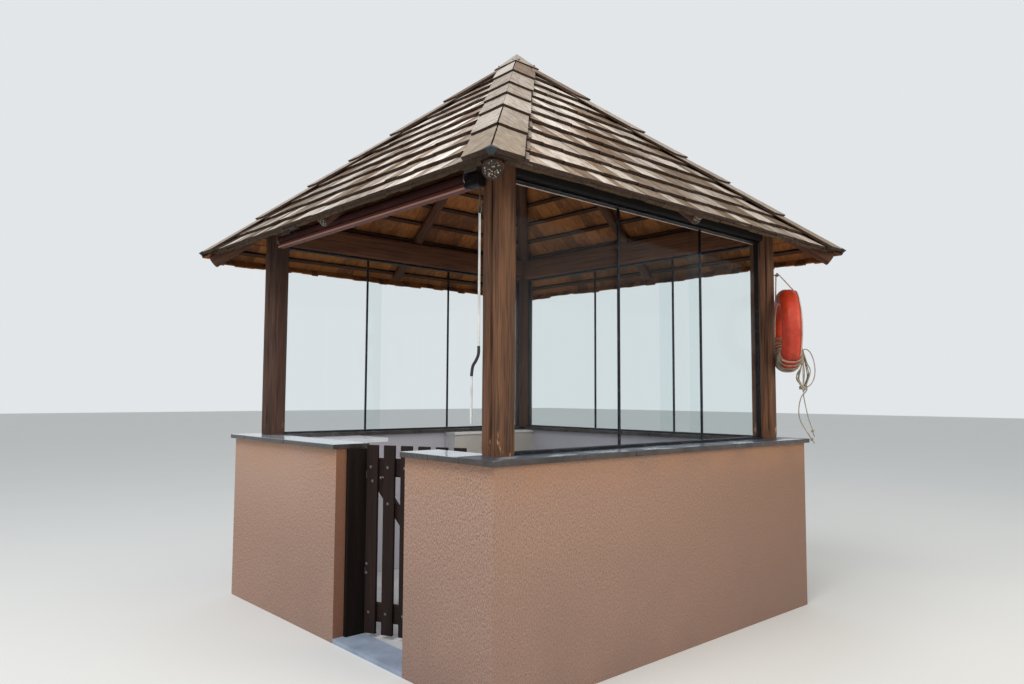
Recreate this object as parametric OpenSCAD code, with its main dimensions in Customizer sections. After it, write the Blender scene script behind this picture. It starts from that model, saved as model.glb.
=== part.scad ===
// Lifeguard kiosk: a square room of rendered half-height walls with a gate,
// four log posts, glazing on three sides and a shingled pyramid roof.
// Front is -Y (the gate side). The origin is the middle of the plan at the foot of the walls.

/* [Walls] */
// Outer length of each side of the square base
base_span = 3000; // [2600:20:3400]
// Height of the masonry under the cap stones
wall_h = 1160; // [1000:10:1300]
// Thickness of the rendered masonry
wall_t = 200; // [180:5:220]
// Clear width between the two front piers
doorway_w = 740; // [700:5:900]
// Width of the front pier on the right of the doorway
right_pier_w = 735; // [620:5:900]

/* [Cap stones] */
// Thickness of the slate cap stones
cap_t = 30; // [20:1:50]
// Overhang of the caps beyond both wall faces
cap_lip = 30; // [10:1:45]
// Overhang of the caps into the doorway
cap_end_lip = 10; // [4:1:12]

/* [Floor] */
// Thickness of the floor inside
floor_t = 20; // [12:1:40]
// Height of the threshold slab in the doorway
threshold_t = 28; // [20:1:34]
// Opening left between the floor edge and the walls
floor_joint = 2; // [0:1:6]

/* [Posts and beams] */
// Diameter of the log posts
post_d = 172; // [140:2:190]
// Distance from the outer wall face to a post's middle
post_inset = 200; // [170:5:230]
// Height of the underside of the beams above the ground
beam_low = 2635; // [2500:5:2750]
// Width of the beams
beam_w = 100; // [70:2:120]
// Depth of the beams
beam_h = 190; // [150:5:200]
// Gap between timbers that are scribed to each other
scribe_gap = 0.3; // [0.1:0.1:0.8]

/* [Roof] */
// Distance by which the eaves stand out from the walls
eave_out = 225; // [120:5:300]
// Depth of the notches by which the middle logs sit on the beams
log_notch = 18; // [10:1:24]
// Pitch of the four roof faces in degrees
roof_pitch = 41.5; // [36:0.5:46]
// Diameter of the hip logs
hip_log_d = 92; // [70:2:110]
// Diameter of the logs up the middle of each face
middle_log_d = 66; // [50:2:80]
// Distance from the eaves back to the cut ends of the hip logs
hip_log_back = 70; // [40:5:100]
// Distance from the eaves back to the cut ends of the middle logs
middle_log_back = 105; // [60:5:110]
// Thickness of the battens
batten_t = 24; // [16:1:32]
// Width of the battens
batten_w = 30; // [20:1:50]
// Width of the batten along the eave
eave_batten_w = 24; // [18:1:26]
// Side of the square king block under the apex
king_w = 170; // [150:5:220]
// Height of the king block
king_h = 250; // [200:10:400]

/* [Shingles] */
// Number of courses from eave to apex
course_n = 12; // [8:1:14]
// Thickness of a shingle at its lower end
butt_t = 20; // [14:1:24]
// Thickness of the covering between the courses' laps
cover_t = 32; // [28:1:40]
// Number of boards up each hip
hip_course_n = 7; // [5:1:8]
// Width of a hip board along the eave
hip_board_w = 200; // [120:5:260]
// Thickness of a hip board at its lower end
hip_board_t = 24; // [14:1:30]
// Thickness of a hip board at its upper end
hip_board_thin = 4; // [2:1:10]
// Length of the apex cap down each face
apex_cap_l = 150; // [100:10:240]
// Thickness of the apex cap
apex_cap_t = 17; // [8:1:24]
// Half of the opening between two roof faces under the hip boards
mitre_gap = 1; // [0.5:0.5:3]

/* [Glazing] */
// Thickness of the glass
glass_t = 8; // [6:1:10]
// Width of each sliding pane
pane_w = 860; // [820:5:900]
// Distance between the middles of neighbouring tracks
track_step = 14; // [12:1:16]
// Width of the aluminium tracks
track_w = 52; // [46:1:60]
// Height of the bottom track
track_low_h = 16; // [12:1:40]
// Height of the top track
track_high_h = 14; // [12:1:50]
// Thickness of a track's web behind its grooves
track_web = 6; // [4:1:10]
// Width of the dark edge profiles on the panes
edge_w = 12; // [8:1:30]
// Gap on each side of the glass in its groove
groove_gap = 0.5; // [0.3:0.1:1]

/* [Gate] */
// Angle by which the gate stands ajar, inwards
gate_ajar = 24.3; // [0:0.1:60]
// Thickness of the wooden jamb board
jamb_t = 30; // [20:1:40]
// Width of the jamb board
jamb_w = 145; // [80:1:160]
// Number of pickets
picket_n = 6; // [4:1:7]
// Width of a picket
picket_w = 78; // [60:1:90]
// Thickness of a picket
picket_t = 20; // [14:1:24]
// Height of the pickets' tops
picket_top = 1183; // [1000:1:1200]
// Height of the pickets' lower ends
picket_low = 42; // [41:1:80]
// Depth of the rails
rail_h = 112; // [70:1:130]
// Thickness of the rails and the brace
rail_t = 30; // [20:1:36]
// Height of the bottom rail's underside
low_rail_z = 110; // [80:1:260]
// Height of the top rail's underside
top_rail_z = 990; // [800:1:1040]
// Clearance between the gate and what stands beside it
gate_gap = 7; // [6:0.5:12]
// Width of the diagonal brace
brace_w = 80; // [50:5:100]
// Radius of the hinge knuckles
knuckle_r = 7; // [5:0.5:9]
// Length of a hinge's moving knuckle
knuckle_h = 46; // [30:2:60]
// Radius of the hinge pins
pin_r = 4; // [2.5:0.5:4.5]
// Thickness of the hinge plates
plate_t = 3; // [2:0.5:4]
// Height of the lower hinge
low_hinge_z = 415; // [300:5:600]
// Height of the upper hinge
high_hinge_z = 1000; // [800:5:1050]
// Running gap between a hinge's knuckles
hinge_gap = 0.3; // [0.2:0.1:0.6]
// Running gap around the hinge pins
pin_gap = 0.1; // [0.05:0.05:0.3]

/* [Awning] */
// Diameter of the rolled canvas
roll_d = 64; // [50:2:90]
// Distance from the left post to the canvas roll
roll_left_gap = 214; // [60:2:400]
// Distance from the right post to the canvas roll
roll_right_gap = 44; // [20:2:200]
// Height of the roll's middle
roll_z = 2620; // [2600:2:2660]
// Height of the front bar
front_bar_h = 28; // [20:1:40]
// Thickness of the end brackets
bracket_t = 8; // [5:1:12]
// Length of the gear box, in front of the right post
gear_l = 108; // [80:2:150]
// Height of the gear box
gear_h = 74; // [50:2:90]
// Depth of the gear box
gear_w = 50; // [30:2:60]
// Distance from the roll's middle down to the gear box's middle
gear_drop = 24; // [0:2:30]
// Diameter of the crank rod
crank_d = 13; // [8:1:18]
// Height of the bend where the crank arm leaves the rod
crank_bend_z = 1660; // [1500:10:1800]
// Height of the lower end of the crank handle
crank_low_z = 1345; // [1250:5:1450]
// Sideways reach of the crank arm
crank_reach = 56; // [30:2:90]

/* [Life ring] */
// Outer diameter of the ring
ring_d = 600; // [500:5:760]
// Width of the ring's body, from its inner to its outer edge
ring_body_d = 115; // [90:1:130]
// Thickness of the ring's body, through the ring
ring_body_t = 140; // [131:1:160]
// Height of the ring's middle
ring_z = 1985; // [1700:5:2200]
// Distance from the post's surface to the rope wound on the ring
ring_off = 2; // [1:1:20]
// Direction in which the ring faces, from the right side's
ring_turn = 37; // [20:1:70]
// Height of the hook above the ring's middle
hook_up = 405; // [390:5:500]
// Diameter of the hook bar that carries the ring
hook_d = 12; // [8:1:16]

/* [Rope] */
// Diameter of the rope
rope_d = 10; // [8:1:12]
// Reach of the winding from the ring's lowest point towards the front, in degrees
wound_near = 46; // [30:1:80]
// Reach of the winding from the ring's lowest point towards the back, in degrees
wound_far = 79; // [30:1:90]
// Diameter of the grab lines along the ring
line_d = 8; // [6:1:10]
// Height of the hank
hank_h = 330; // [250:5:400]
// Width of the hank
hank_w = 74; // [50:2:90]
// Thickness of the hank
hank_t = 46; // [30:2:60]
// Distance from the ring's middle down to the hank's top
hank_drop = 135; // [100:5:200]

/* [Inside] */
// Depth of the corner shelf, along X
shelf_w = 460; // [300:10:600]
// Length of the corner shelf, along Y
shelf_l = 733; // [500:1:900]
// Depth of the cupboard against the left wall
cupboard_w = 150; // [100:5:300]
// Length of the cupboard
cupboard_l = 970; // [500:10:1100]
// Thickness of the cupboard's pale top
cupboard_top_t = 20; // [12:1:30]
// Overhang of the cupboard's top
cupboard_lip = 10; // [4:1:20]

/* [Hidden] */
$fn = 48;
half = base_span/2;
eave_half = half + eave_out;
inner = half - wall_t;
post_at = half - post_inset;
post_r = post_d/2;
cap_top = wall_h + cap_t;
door_x1 = half - right_pier_w;
door_x0 = door_x1 - doorway_w;
beam_top = beam_low + beam_h;
rise = tan(roof_pitch);
slope_len = eave_half/cos(roof_pitch);
exposure = slope_len/course_n;
hip_exposure = slope_len/hip_course_n;
tight = 0.2;
log_seat = cover_t + tight;
hip_drop = (log_seat + hip_log_d/2)/cos(roof_pitch);
middle_drop = (log_seat + middle_log_d/2)/cos(roof_pitch);
hip_tail = eave_half - hip_log_back;
middle_tail = eave_half - middle_log_back;
eave_top = beam_top - log_notch + middle_log_d/2/cos(roof_pitch) + middle_drop - (eave_half - post_at)*rise;
apex_z = eave_top + eave_half*rise;
eave_batten_back = 4;
post_drop = 20;
king_drop = 20;
king_top = apex_z - king_w/2*rise - cover_t/cos(roof_pitch) - king_drop;
post_top = beam_top - post_drop;
bay = post_at - post_r;
hip_start = 100;
far = 6000;

// Gate: the leaf is drawn closed, then turned about its hinge pin
leaf_x0 = door_x0 + jamb_t + gate_gap;
leaf_x1 = door_x1 - cap_end_lip - gate_gap;
hinge_x = leaf_x0 - knuckle_r - 1.5;
hinge_y = -inner + 23;
jamb_edge = hinge_y - knuckle_r - 1;
picket_step = (leaf_x1 - leaf_x0 - picket_w)/(picket_n - 1);
picket_front = hinge_y - rail_t - picket_t;
fixed_knuckle_h = 22;

// Awning: it hangs in front of the front beam, and its gear passes in front of the post
beam_face = -post_at - beam_w/2;
crank_edge = 12;
roll_x0 = -bay + roll_left_gap;
roll_x1 = bay - roll_right_gap;
roll_y = -post_at - post_r - gear_w/2 - 1;
crank_x = roll_x1 + bracket_t + gear_l - crank_edge;
gear_low = roll_z - gear_drop - gear_h/2;

// Life ring: it hangs by a sling from a hook on the outer side of the back right post
ring_r = (ring_d - ring_body_d)/2;
wound_t = rope_d + 2;
ring_out = post_r + ring_off + wound_t + ring_body_t/2;
ring_bulge = (ring_body_t - ring_body_d)/2;
soft_gap = 0.3;
hook_out = 26;
hook_z = ring_z + hook_up;
hook_x = post_r + hook_out;

// Rope: the hank hangs against the outer face of the winding
hank_x = ring_out + ring_body_t/2 + soft_gap + wound_t + soft_gap + hank_t/2;
hank_low = ring_z - hank_drop - hank_h;
tube_sides = 8;
// Routes of the two tails and the loose loop, from the middle of the hank's lower end
tail_routes = [
    [[0, -9, -0.3], [4, -10, -24], [22, -12, -84], [46, -14, -166], [68, -16, -256], [80, -18, -346], [84, -19, -405]],
    [[0, 9, -0.3], [2, 10, -24], [10, 12, -84], [32, 14, -174], [60, 15, -274], [76, 16, -364], [80, 17, -395]],
    [[24, 0, 300], [42, 0, 298], [66, 0, 276], [84, 0, 226], [90, 0, 150], [80, 0, 80], [56, 0, 42], [26, 0, 28]]
];

// A point of the front-to-back section through a roof face, s up the slope and h square to it
function slope_point(s, h) = [
    eave_half - s*cos(roof_pitch) + h*sin(roof_pitch),
    eave_top + s*sin(roof_pitch) + h*cos(roof_pitch)
];

// Upper outline of overlapping courses, each butt_h proud of the one below at its lower end
function course_outline(n, step, butt_h, lift) = [
    for (i = [0:n - 1], end = [0, 1])
        slope_point((i + end)*step, lift - end*butt_h)
];

// Turns that carry the piece of the right side (+X) to each side
function side_turn(side) = side == "right" ? 0 : side == "back" ? 90 : side == "left" ? 180 : 270;

module on_side(side) {
    rotate([0, 0, side_turn(side)]) children();
}

// A box from one corner to the opposite one
module span_box(low, high) {
    translate(low) cube(high - low);
}

// The plan of one roof face (+X), kept back from the hips by gap
module face_sector(gap) {
    shift = gap*sqrt(2);
    linear_extrude(far)
        polygon([[shift, 0], [far, far - shift], [far, shift - far]]);
}

// A section in the X-Z plane drawn out along Y
module along_eave(points) {
    rotate([90, 0, 0])
        linear_extrude(2*eave_half + 200, center = true)
            polygon(points);
}

// A log whose axis lies drop below the roof surface, straight up a middle line (+X)
module sloped_log(d, drop, tail, turn, run) {
    slope = atan(rise/run);
    reach = tail*run;
    rotate([0, 0, turn])
        translate([reach, 0, eave_top + (eave_half - tail)*rise - drop])
            rotate([0, -90 + slope, 0])
                cylinder(h = reach/cos(slope), d = d);
}

module at_posts() {
    for (x = [-1, 1], y = [-1, 1])
        translate([x*post_at, y*post_at, 0]) children();
}

// Walls and floor
module floor() {
    color("gainsboro")
        span_box([-inner + floor_joint, -inner + floor_joint, 0], [inner - floor_joint, inner - floor_joint, floor_t]);
}

module threshold() {
    color("lightsteelblue")
        span_box([door_x0, -half, 0], [door_x1, -inner, threshold_t]);
}

module side_wall() {
    color("rosybrown") span_box([inner, -half, 0], [half, half, wall_h]);
}

module left_wall() {
    on_side("left") side_wall();
}

module right_wall() {
    on_side("right") side_wall();
}

module back_wall() {
    color("rosybrown") span_box([-inner, inner, 0], [inner, half, wall_h]);
}

module front_piers() {
    color("rosybrown") {
        span_box([-inner, -half, 0], [door_x0, -inner, wall_h]);
        span_box([door_x1, -half, 0], [inner, -inner, wall_h]);
    }
}

// Cap stones
module side_cap() {
    color("slategray")
        span_box([inner - cap_lip, -half - cap_lip, wall_h], [half + cap_lip, half + cap_lip, cap_top]);
}

module left_cap() {
    on_side("left") side_cap();
}

module right_cap() {
    on_side("right") side_cap();
}

module back_cap() {
    color("slategray")
        span_box([-inner + cap_lip, inner - cap_lip, wall_h], [inner - cap_lip, half + cap_lip, cap_top]);
}

module front_caps() {
    color("slategray") {
        span_box([-inner + cap_lip, -half - cap_lip, wall_h], [door_x0 + cap_end_lip, -inner + cap_lip, cap_top]);
        span_box([door_x1 - cap_end_lip, -half - cap_lip, wall_h], [inner - cap_lip, -inner + cap_lip, cap_top]);
    }
}

// Posts: each stands on the caps and is notched for the hip log
module post(x, y) {
    color("sienna")
        difference() {
            translate([x*post_at, y*post_at, cap_top])
                cylinder(h = post_top - cap_top, r = post_r);
            sloped_log(hip_log_d + 2*scribe_gap, hip_drop, hip_tail + 200, atan2(y, x), sqrt(2));
        }
}

module front_left_post() {
    post(-1, -1);
}

module front_right_post() {
    post(1, -1);
}

module back_left_post() {
    post(-1, 1);
}

module back_right_post() {
    post(1, 1);
}

// Beams: each runs between two posts, scribed to them
module beam() {
    color("saddlebrown")
        difference() {
            span_box([post_at - beam_w/2, -post_at, beam_low], [post_at + beam_w/2, post_at, beam_top]);
            at_posts() translate([0, 0, beam_low - 1]) cylinder(h = beam_h + 2, r = post_r + scribe_gap);
        }
}

module front_beam() {
    on_side("front") beam();
}

module right_beam() {
    on_side("right") beam();
}

module back_beam() {
    on_side("back") beam();
}

module left_beam() {
    on_side("left") beam();
}

// Roof timbers: four hip logs and four middle logs meet on the king block
module king_block() {
    color("saddlebrown")
        span_box([-king_w/2, -king_w/2, king_top - king_h], [king_w/2, king_w/2, king_top]);
}

module hip_logs() {
    color("saddlebrown")
        for (turn = [45:90:315])
            difference() {
                sloped_log(hip_log_d, hip_drop, hip_tail, turn, sqrt(2));
                span_box([-king_w/2 - tight, -king_w/2 - tight, 0], [king_w/2 + tight, king_w/2 + tight, far]);
            }
}

module middle_logs() {
    color("saddlebrown")
        for (side = ["front", "right", "back", "left"])
            on_side(side)
                difference() {
                    sloped_log(middle_log_d, middle_drop, middle_tail, 0, 1);
                    for (turn = [-45, 45]) sloped_log(hip_log_d + 2*scribe_gap, hip_drop, hip_tail, turn, sqrt(2));
                    span_box([-far, -king_w, 0], [king_w/2 + tight, king_w, far]);
                    span_box(
                        [post_at - beam_w/2 - tight, -king_w, beam_low],
                        [post_at + beam_w/2 + tight, king_w, beam_top + tight]
                    );
                }
}

// Battens: let in between the logs, with one along each eave past the middle log
module batten(s, w) {
    low = -log_seat - batten_t;
    along_eave([
        slope_point(s, -log_seat),
        slope_point(s + w, -log_seat),
        slope_point(s + w, low),
        slope_point(s, low)
    ]);
}

module face_battens() {
    beside = middle_log_d/2 + tight;
    difference() {
        intersection() {
            union() {
                batten(eave_batten_back, eave_batten_w);
                for (i = [0:course_n - 2]) batten((i + 0.5)*exposure, batten_w);
            }
            face_sector(hip_log_d/2 + tight);
        }
        span_box([0, -beside, 0], [middle_tail + middle_log_d/2, beside, apex_z]);
    }
}

module battens() {
    color("saddlebrown")
        for (side = ["front", "right", "back", "left"])
            on_side(side) face_battens();
}

// Roof covering: stepped courses of shingles on each face
module face_shingles(side) {
    color("tan")
        on_side(side)
            intersection() {
                along_eave(concat(
                    course_outline(course_n, exposure, butt_t, 0),
                    [slope_point(slope_len, -cover_t), slope_point(0, -cover_t)]
                ));
                face_sector(mitre_gap);
            }
}

module front_shingles() {
    face_shingles("front");
}

module right_shingles() {
    face_shingles("right");
}

module back_shingles() {
    face_shingles("back");
}

module left_shingles() {
    face_shingles("left");
}

// Hip boards: stepped boards over both sides of each hip, as far as the middle line of the face
module hip_strip(hand) {
    intersection() {
        along_eave(concat(
            course_outline(hip_course_n, hip_exposure, hip_board_t - hip_board_thin, hip_board_t),
            [slope_point(slope_len, tight), slope_point(0, tight)]
        ));
        linear_extrude(far)
            polygon([
                [hip_start, hip_start*hand],
                [far, far*hand],
                [far, (far - hip_board_w)*hand],
                [hip_board_w + mitre_gap, mitre_gap*hand],
                [hip_start, mitre_gap*hand]
            ]);
    }
}

module hip_boards() {
    color("burlywood")
        for (turn = [0:90:270])
            rotate([0, 0, turn]) {
                hip_strip(1);
                rotate([0, 0, 90]) hip_strip(-1);
            }
}

// A pyramid whose faces lie h above the roof surface
module apex_pyramid(h) {
    reach = 2*apex_cap_l;
    top = apex_z + h/cos(roof_pitch);
    intersection_for(turn = [0, 90])
        rotate([0, 0, turn])
            along_eave([[-reach, top - reach*rise], [0, top], [reach, top - reach*rise]]);
}

// A cap over the four hips, whose lower edges rest on the top hip boards
module apex_cap() {
    seat = hip_board_thin + (hip_board_t - hip_board_thin)*apex_cap_l/hip_exposure + tight;
    edge_z = slope_point(slope_len - apex_cap_l, seat)[1];
    color("burlywood")
        difference() {
            apex_pyramid(seat + apex_cap_t);
            apex_pyramid(seat);
            span_box([-far, -far, 0], [far, far, edge_z]);
        }
}

// Glazing of one side: three sliding panes, each in its own track
function pane_low(i) = i == 0 ? -bay + 4 : i == 1 ? -bay + pane_w - 4 : bay - 4 - pane_w;
function pane_mid(i) = post_at + (i - 1)*track_step;
edge_wall = 2;
pane_z0 = cap_top + track_web;
pane_play = 3;
pane_z1 = beam_low - track_web - pane_play;

module panes() {
    color("lightcyan", 0.4)
        for (i = [0:2])
            span_box(
                [pane_mid(i) - glass_t/2, pane_low(i), pane_z0],
                [pane_mid(i) + glass_t/2, pane_low(i) + pane_w, pane_z1]
            );
}

module track(z0, z1, groove_z0, groove_z1) {
    slot = glass_t + 2*groove_gap;
    difference() {
        span_box([post_at - track_w/2, -post_at, z0], [post_at + track_w/2, post_at, z1]);
        for (i = [0:2])
            span_box([pane_mid(i) - slot/2, -post_at - 1, groove_z0], [pane_mid(i) + slot/2, post_at + 1, groove_z1]);
        at_posts() translate([0, 0, z0 - 1]) cylinder(h = z1 - z0 + 2, r = post_r + scribe_gap);
    }
}

// A dark profile that grips one upright edge of a pane; hand says which edge
module edge_profile(i, hand) {
    edge = hand > 0 ? pane_low(i) + pane_w : pane_low(i);
    z0 = cap_top + track_low_h + 2;
    z1 = beam_low - track_high_h - 2;
    translate([pane_mid(i), edge, 0])
        mirror([0, hand > 0 ? 0 : 1, 0])
            difference() {
                span_box([-glass_t/2 - edge_wall, -edge_w, z0], [glass_t/2 + edge_wall, edge_wall, z1]);
                span_box([-glass_t/2, -edge_w - 1, z0 - 1], [glass_t/2, 0, z1 + 1]);
            }
}

module tracks() {
    color("dimgray") {
        track(cap_top, cap_top + track_low_h, pane_z0, cap_top + track_low_h + 1);
        track(beam_low - track_high_h, beam_low, beam_low - track_high_h - 1, beam_low - track_web);
        for (hand = [-1, 1]) edge_profile(1, hand);
    }
}

module glazed_sides() {
    on_side("right") children();
    on_side("left") children();
    mirror([1, 0, 0]) on_side("back") children();
}

module sliding_panes() {
    glazed_sides() panes();
}

module glazing_tracks() {
    glazed_sides() tracks();
}

// Gate
module gate_jamb() {
    color("saddlebrown")
        span_box([door_x0, jamb_edge - jamb_w, threshold_t], [door_x0 + jamb_t, jamb_edge, wall_h - 1]);
}

module brace() {
    low = low_rail_z + rail_h;
    translate([0, hinge_y, 0])
        rotate([90, 0, 0])
            linear_extrude(rail_t)
                polygon([
                    [leaf_x0, top_rail_z],
                    [leaf_x1 - brace_w, low],
                    [leaf_x1, low],
                    [leaf_x0 + brace_w, top_rail_z]
                ]);
}

module gate_leaf() {
    for (i = [0:picket_n - 1])
        span_box(
            [leaf_x0 + i*picket_step, picket_front, picket_low],
            [leaf_x0 + i*picket_step + picket_w, picket_front + picket_t, picket_top]
        );
    for (z = [low_rail_z, top_rail_z])
        span_box([leaf_x0, picket_front + picket_t, z], [leaf_x1, hinge_y, z + rail_h]);
    brace();
}

module swung() {
    translate([hinge_x, hinge_y, 0])
        rotate([0, 0, gate_ajar])
            translate([-hinge_x, -hinge_y, 0])
                children();
}

module gate() {
    color("saddlebrown") swung() gate_leaf();
}

module at_hinges() {
    for (z = [low_hinge_z, high_hinge_z])
        translate([hinge_x, hinge_y, z]) children();
}

// The moving half of each hinge: a bored knuckle and a plate on the leaf's edge
module gate_hinge_plates() {
    edge = leaf_x0 - hinge_x;
    color("dimgray")
        swung()
            at_hinges()
                difference() {
                    union() {
                        cylinder(h = knuckle_h, r = knuckle_r, center = true);
                        span_box([edge - plate_t, picket_front - hinge_y + 3, -knuckle_h/2], [edge, 0, knuckle_h/2]);
                    }
                    cylinder(h = knuckle_h + 2, r = pin_r + pin_gap, center = true);
                }
}

// The fixed half: two knuckles on one pin, and a plate on the jamb's inner edge
module jamb_hinges() {
    reach = knuckle_h/2 + hinge_gap + fixed_knuckle_h;
    plate_x = door_x0 + 4 - hinge_x;
    color("dimgray")
        at_hinges() {
            cylinder(h = 2*reach, r = pin_r, center = true);
            for (side = [0, 1])
                mirror([0, 0, side])
                    translate([0, 0, knuckle_h/2 + hinge_gap]) {
                        cylinder(h = fixed_knuckle_h, r = knuckle_r);
                        span_box(
                            [plate_x, jamb_edge - hinge_y, 0],
                            [0, jamb_edge - hinge_y + plate_t, fixed_knuckle_h]
                        );
                    }
        }
}

// Awning
module awning_roll() {
    color("maroon")
        translate([roll_x0, roll_y, roll_z])
            rotate([0, 90, 0])
                cylinder(h = roll_x1 - roll_x0, d = roll_d);
}

module awning_front_bar() {
    color("peru")
        span_box(
            [roll_x0, roll_y - 22, roll_z - roll_d/2 - tight - front_bar_h],
            [roll_x1, roll_y + 22, roll_z - roll_d/2 - tight]
        );
}

module awning_brackets() {
    color("dimgray") {
        for (x = [roll_x0 - bracket_t, roll_x1])
            span_box([x, roll_y - roll_d/2, roll_z - roll_d/2], [x + bracket_t, beam_face, roll_z + roll_d/2]);
        span_box(
            [roll_x1 + bracket_t, roll_y - gear_w/2, gear_low],
            [roll_x1 + bracket_t + gear_l, roll_y + gear_w/2, gear_low + gear_h]
        );
    }
}

module awning_crank() {
    arm_x = crank_x - crank_reach;
    color("white") {
        translate([crank_x, roll_y, crank_bend_z])
            cylinder(h = gear_low - crank_bend_z, d = crank_d);
        translate([arm_x, roll_y, crank_low_z])
            cylinder(h = crank_bend_z - crank_low_z, d = crank_d);
        translate([arm_x, roll_y, crank_bend_z])
            rotate([0, 90, 0])
                cylinder(h = crank_reach, d = crank_d);
        for (x = [arm_x, crank_x])
            translate([x, roll_y, crank_bend_z]) sphere(d = crank_d);
    }
}

// Life ring, drawn in a frame whose X runs from the back right post's middle out through the ring
module at_ring() {
    translate([post_at, post_at, 0])
        rotate([0, 0, ring_turn])
            children();
}

// The ring's section, grown by extra: a band with round edges
module ring_section(extra) {
    for (side = [-1, 1])
        translate([ring_r, side*ring_bulge]) circle(d = ring_body_d + 2*extra);
    translate([ring_r, 0]) square([ring_body_d + 2*extra, 2*ring_bulge], center = true);
}

module around_ring(angle, start) {
    translate([ring_out, 0, ring_z])
        rotate([0, 90, 0])
            rotate([0, 0, start])
                rotate_extrude(angle = angle)
                    children();
}

module life_ring() {
    color("orangered") at_ring() around_ring(360, 0) ring_section(0);
}

// A bent bar: out of the post beside the sling, across under it, and up at its end
module ring_hook() {
    side = rope_d + hook_d + 3;
    inner_side = side - hook_d/2;
    foot = sqrt(post_r*post_r - inner_side*inner_side) + tight;
    color("dimgray")
        at_ring()
            translate([0, -side, hook_z]) {
                translate([foot, 0, 0]) rotate([0, 90, 0]) cylinder(h = hook_x - foot, d = hook_d);
                translate([hook_x, 0, 0]) sphere(d = hook_d);
                translate([hook_x, 0, 0]) rotate([-90, 0, 0]) cylinder(h = 2*side, d = hook_d);
                translate([hook_x, 2*side, 0]) sphere(d = hook_d);
                translate([hook_x, 2*side, 0]) cylinder(h = 2*hook_d, d = hook_d);
            }
}

// A tube along points that lie near the X-Z plane; a closed one joins its last point to its first
function unit(v) = v/norm(v);

function heading(points, i, closed) =
    let (n = len(points), a = closed ? (i + n - 1)%n : max(i - 1, 0), b = closed ? (i + 1)%n : min(i + 1, n - 1))
        unit(points[b] - points[a]);

function tube_ring(middle, along, d) =
    let (across = unit(cross([0, 1, 0], along)), up = cross(along, across))
        [for (k = [0:tube_sides - 1]) middle + d/2*(cos(360*k/tube_sides)*across + sin(360*k/tube_sides)*up)];

module tube(points, d, closed = false) {
    n = len(points);
    last = closed ? n - 1 : n - 2;
    corners = [for (i = [0:n - 1]) each tube_ring(points[i], heading(points, i, closed), d)];
    sides = [
        for (i = [0:last], k = [0:tube_sides - 1])
            let (j = (i + 1)%n, m = (k + 1)%tube_sides)
                [i*tube_sides + k, j*tube_sides + k, j*tube_sides + m, i*tube_sides + m]
    ];
    ends = closed ? [] : [
        [for (k = [0:tube_sides - 1]) k],
        [for (k = [tube_sides - 1:-1:0]) (n - 1)*tube_sides + k]
    ];
    polyhedron(points = corners, faces = concat(sides, ends));
}

// Two points on each stretch of a smooth curve through a route
function route_point(p, i, t) =
    let (a = p[max(i - 1, 0)], b = p[i], c = p[i + 1], e = p[min(i + 2, len(p) - 1)])
        b + t/2*(c - a) + t*t/2*(2*a - 5*b + 4*c - e) + t*t*t/2*(3*b - a - 3*c + e);

function smooth_route(p) = [
    for (i = [0:len(p) - 2], t = [0, 0.5]) route_point(p, i, t),
    p[len(p) - 1]
];

// An arc of n chords that keep r clear of its middle
function arc(middle, r, from, to, n) =
    let (step = (to - from)/n)
        [for (k = [0:n]) middle + r/cos(step/2)*[cos(from + step*k), 0, sin(from + step*k)]];

// The sling: a taut loop under the ring's top and over the hook
module sling() {
    ring_arc = ring_body_d/2 + soft_gap + rope_d/2;
    hook_arc = hook_d/2 + soft_gap + rope_d/2;
    top = ring_z + ring_r;
    outer = [ring_out + ring_bulge, 0, top];
    inner = [ring_out - ring_bulge, 0, top];
    hook = [hook_x, 0, hook_z];
    outer_lean = lean(hook - outer, ring_arc - hook_arc);
    inner_lean = 180 - lean([inner[0] - hook[0], 0, hook[2] - inner[2]], ring_arc - hook_arc);
    tube(
        concat(
            arc(inner, ring_arc, inner_lean, 270, 8),
            arc(outer, ring_arc, 270, 360 + outer_lean, 10),
            arc(hook, hook_arc, outer_lean, inner_lean, 6)
        ),
        rope_d,
        closed = true
    );
}

// Angle at which a line that touches two arcs on their right leaves them; span joins their middles
function lean(span, drop) = atan2(span[2], span[0]) - acos(drop/norm(span));

// Grab lines: one by the ring's outer edge, one by its inner edge on the post's side
module grab_lines() {
    reach = ring_body_d/2 + soft_gap + line_d/2;
    free = asin((rope_d/2 + soft_gap)/(ring_r - reach));
    for (side = [-1, 1], arc_ends = [[wound_far + 0.2, 180 - free], [180 + free, 360 - wound_near - 0.2]])
        around_ring(arc_ends[1] - arc_ends[0], arc_ends[0])
            translate([ring_r + side*reach*cos(45), side*(ring_bulge + reach*sin(45))])
                circle(d = line_d);
}

module ring_lines() {
    color("antiquewhite")
        at_ring() {
            sling();
            grab_lines();
        }
}

module rope_winding() {
    color("beige")
        at_ring()
            around_ring(wound_near + wound_far, -wound_near)
                difference() {
                    ring_section(soft_gap + wound_t);
                    ring_section(soft_gap);
                }
}

module rope_hank() {
    straight = hank_h - hank_w;
    color("beige")
        at_ring()
            translate([hank_x, 0, hank_low + hank_w/2])
                rotate([90, 0, 90])
                    linear_extrude(hank_t, center = true) {
                        circle(d = hank_w);
                        translate([-hank_w/2, 0]) square([hank_w, straight]);
                        translate([0, straight]) circle(d = hank_w);
                    }
}

module rope_tails() {
    color("beige")
        at_ring()
            translate([hank_x, 0, hank_low])
                for (route = tail_routes)
                    tube(smooth_route(route), rope_d);
}

// Inside
module corner_shelf() {
    color("lightgray")
        span_box([-inner, -inner, wall_h - cap_t], [-inner + shelf_w, -inner + shelf_l, wall_h]);
}

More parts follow.
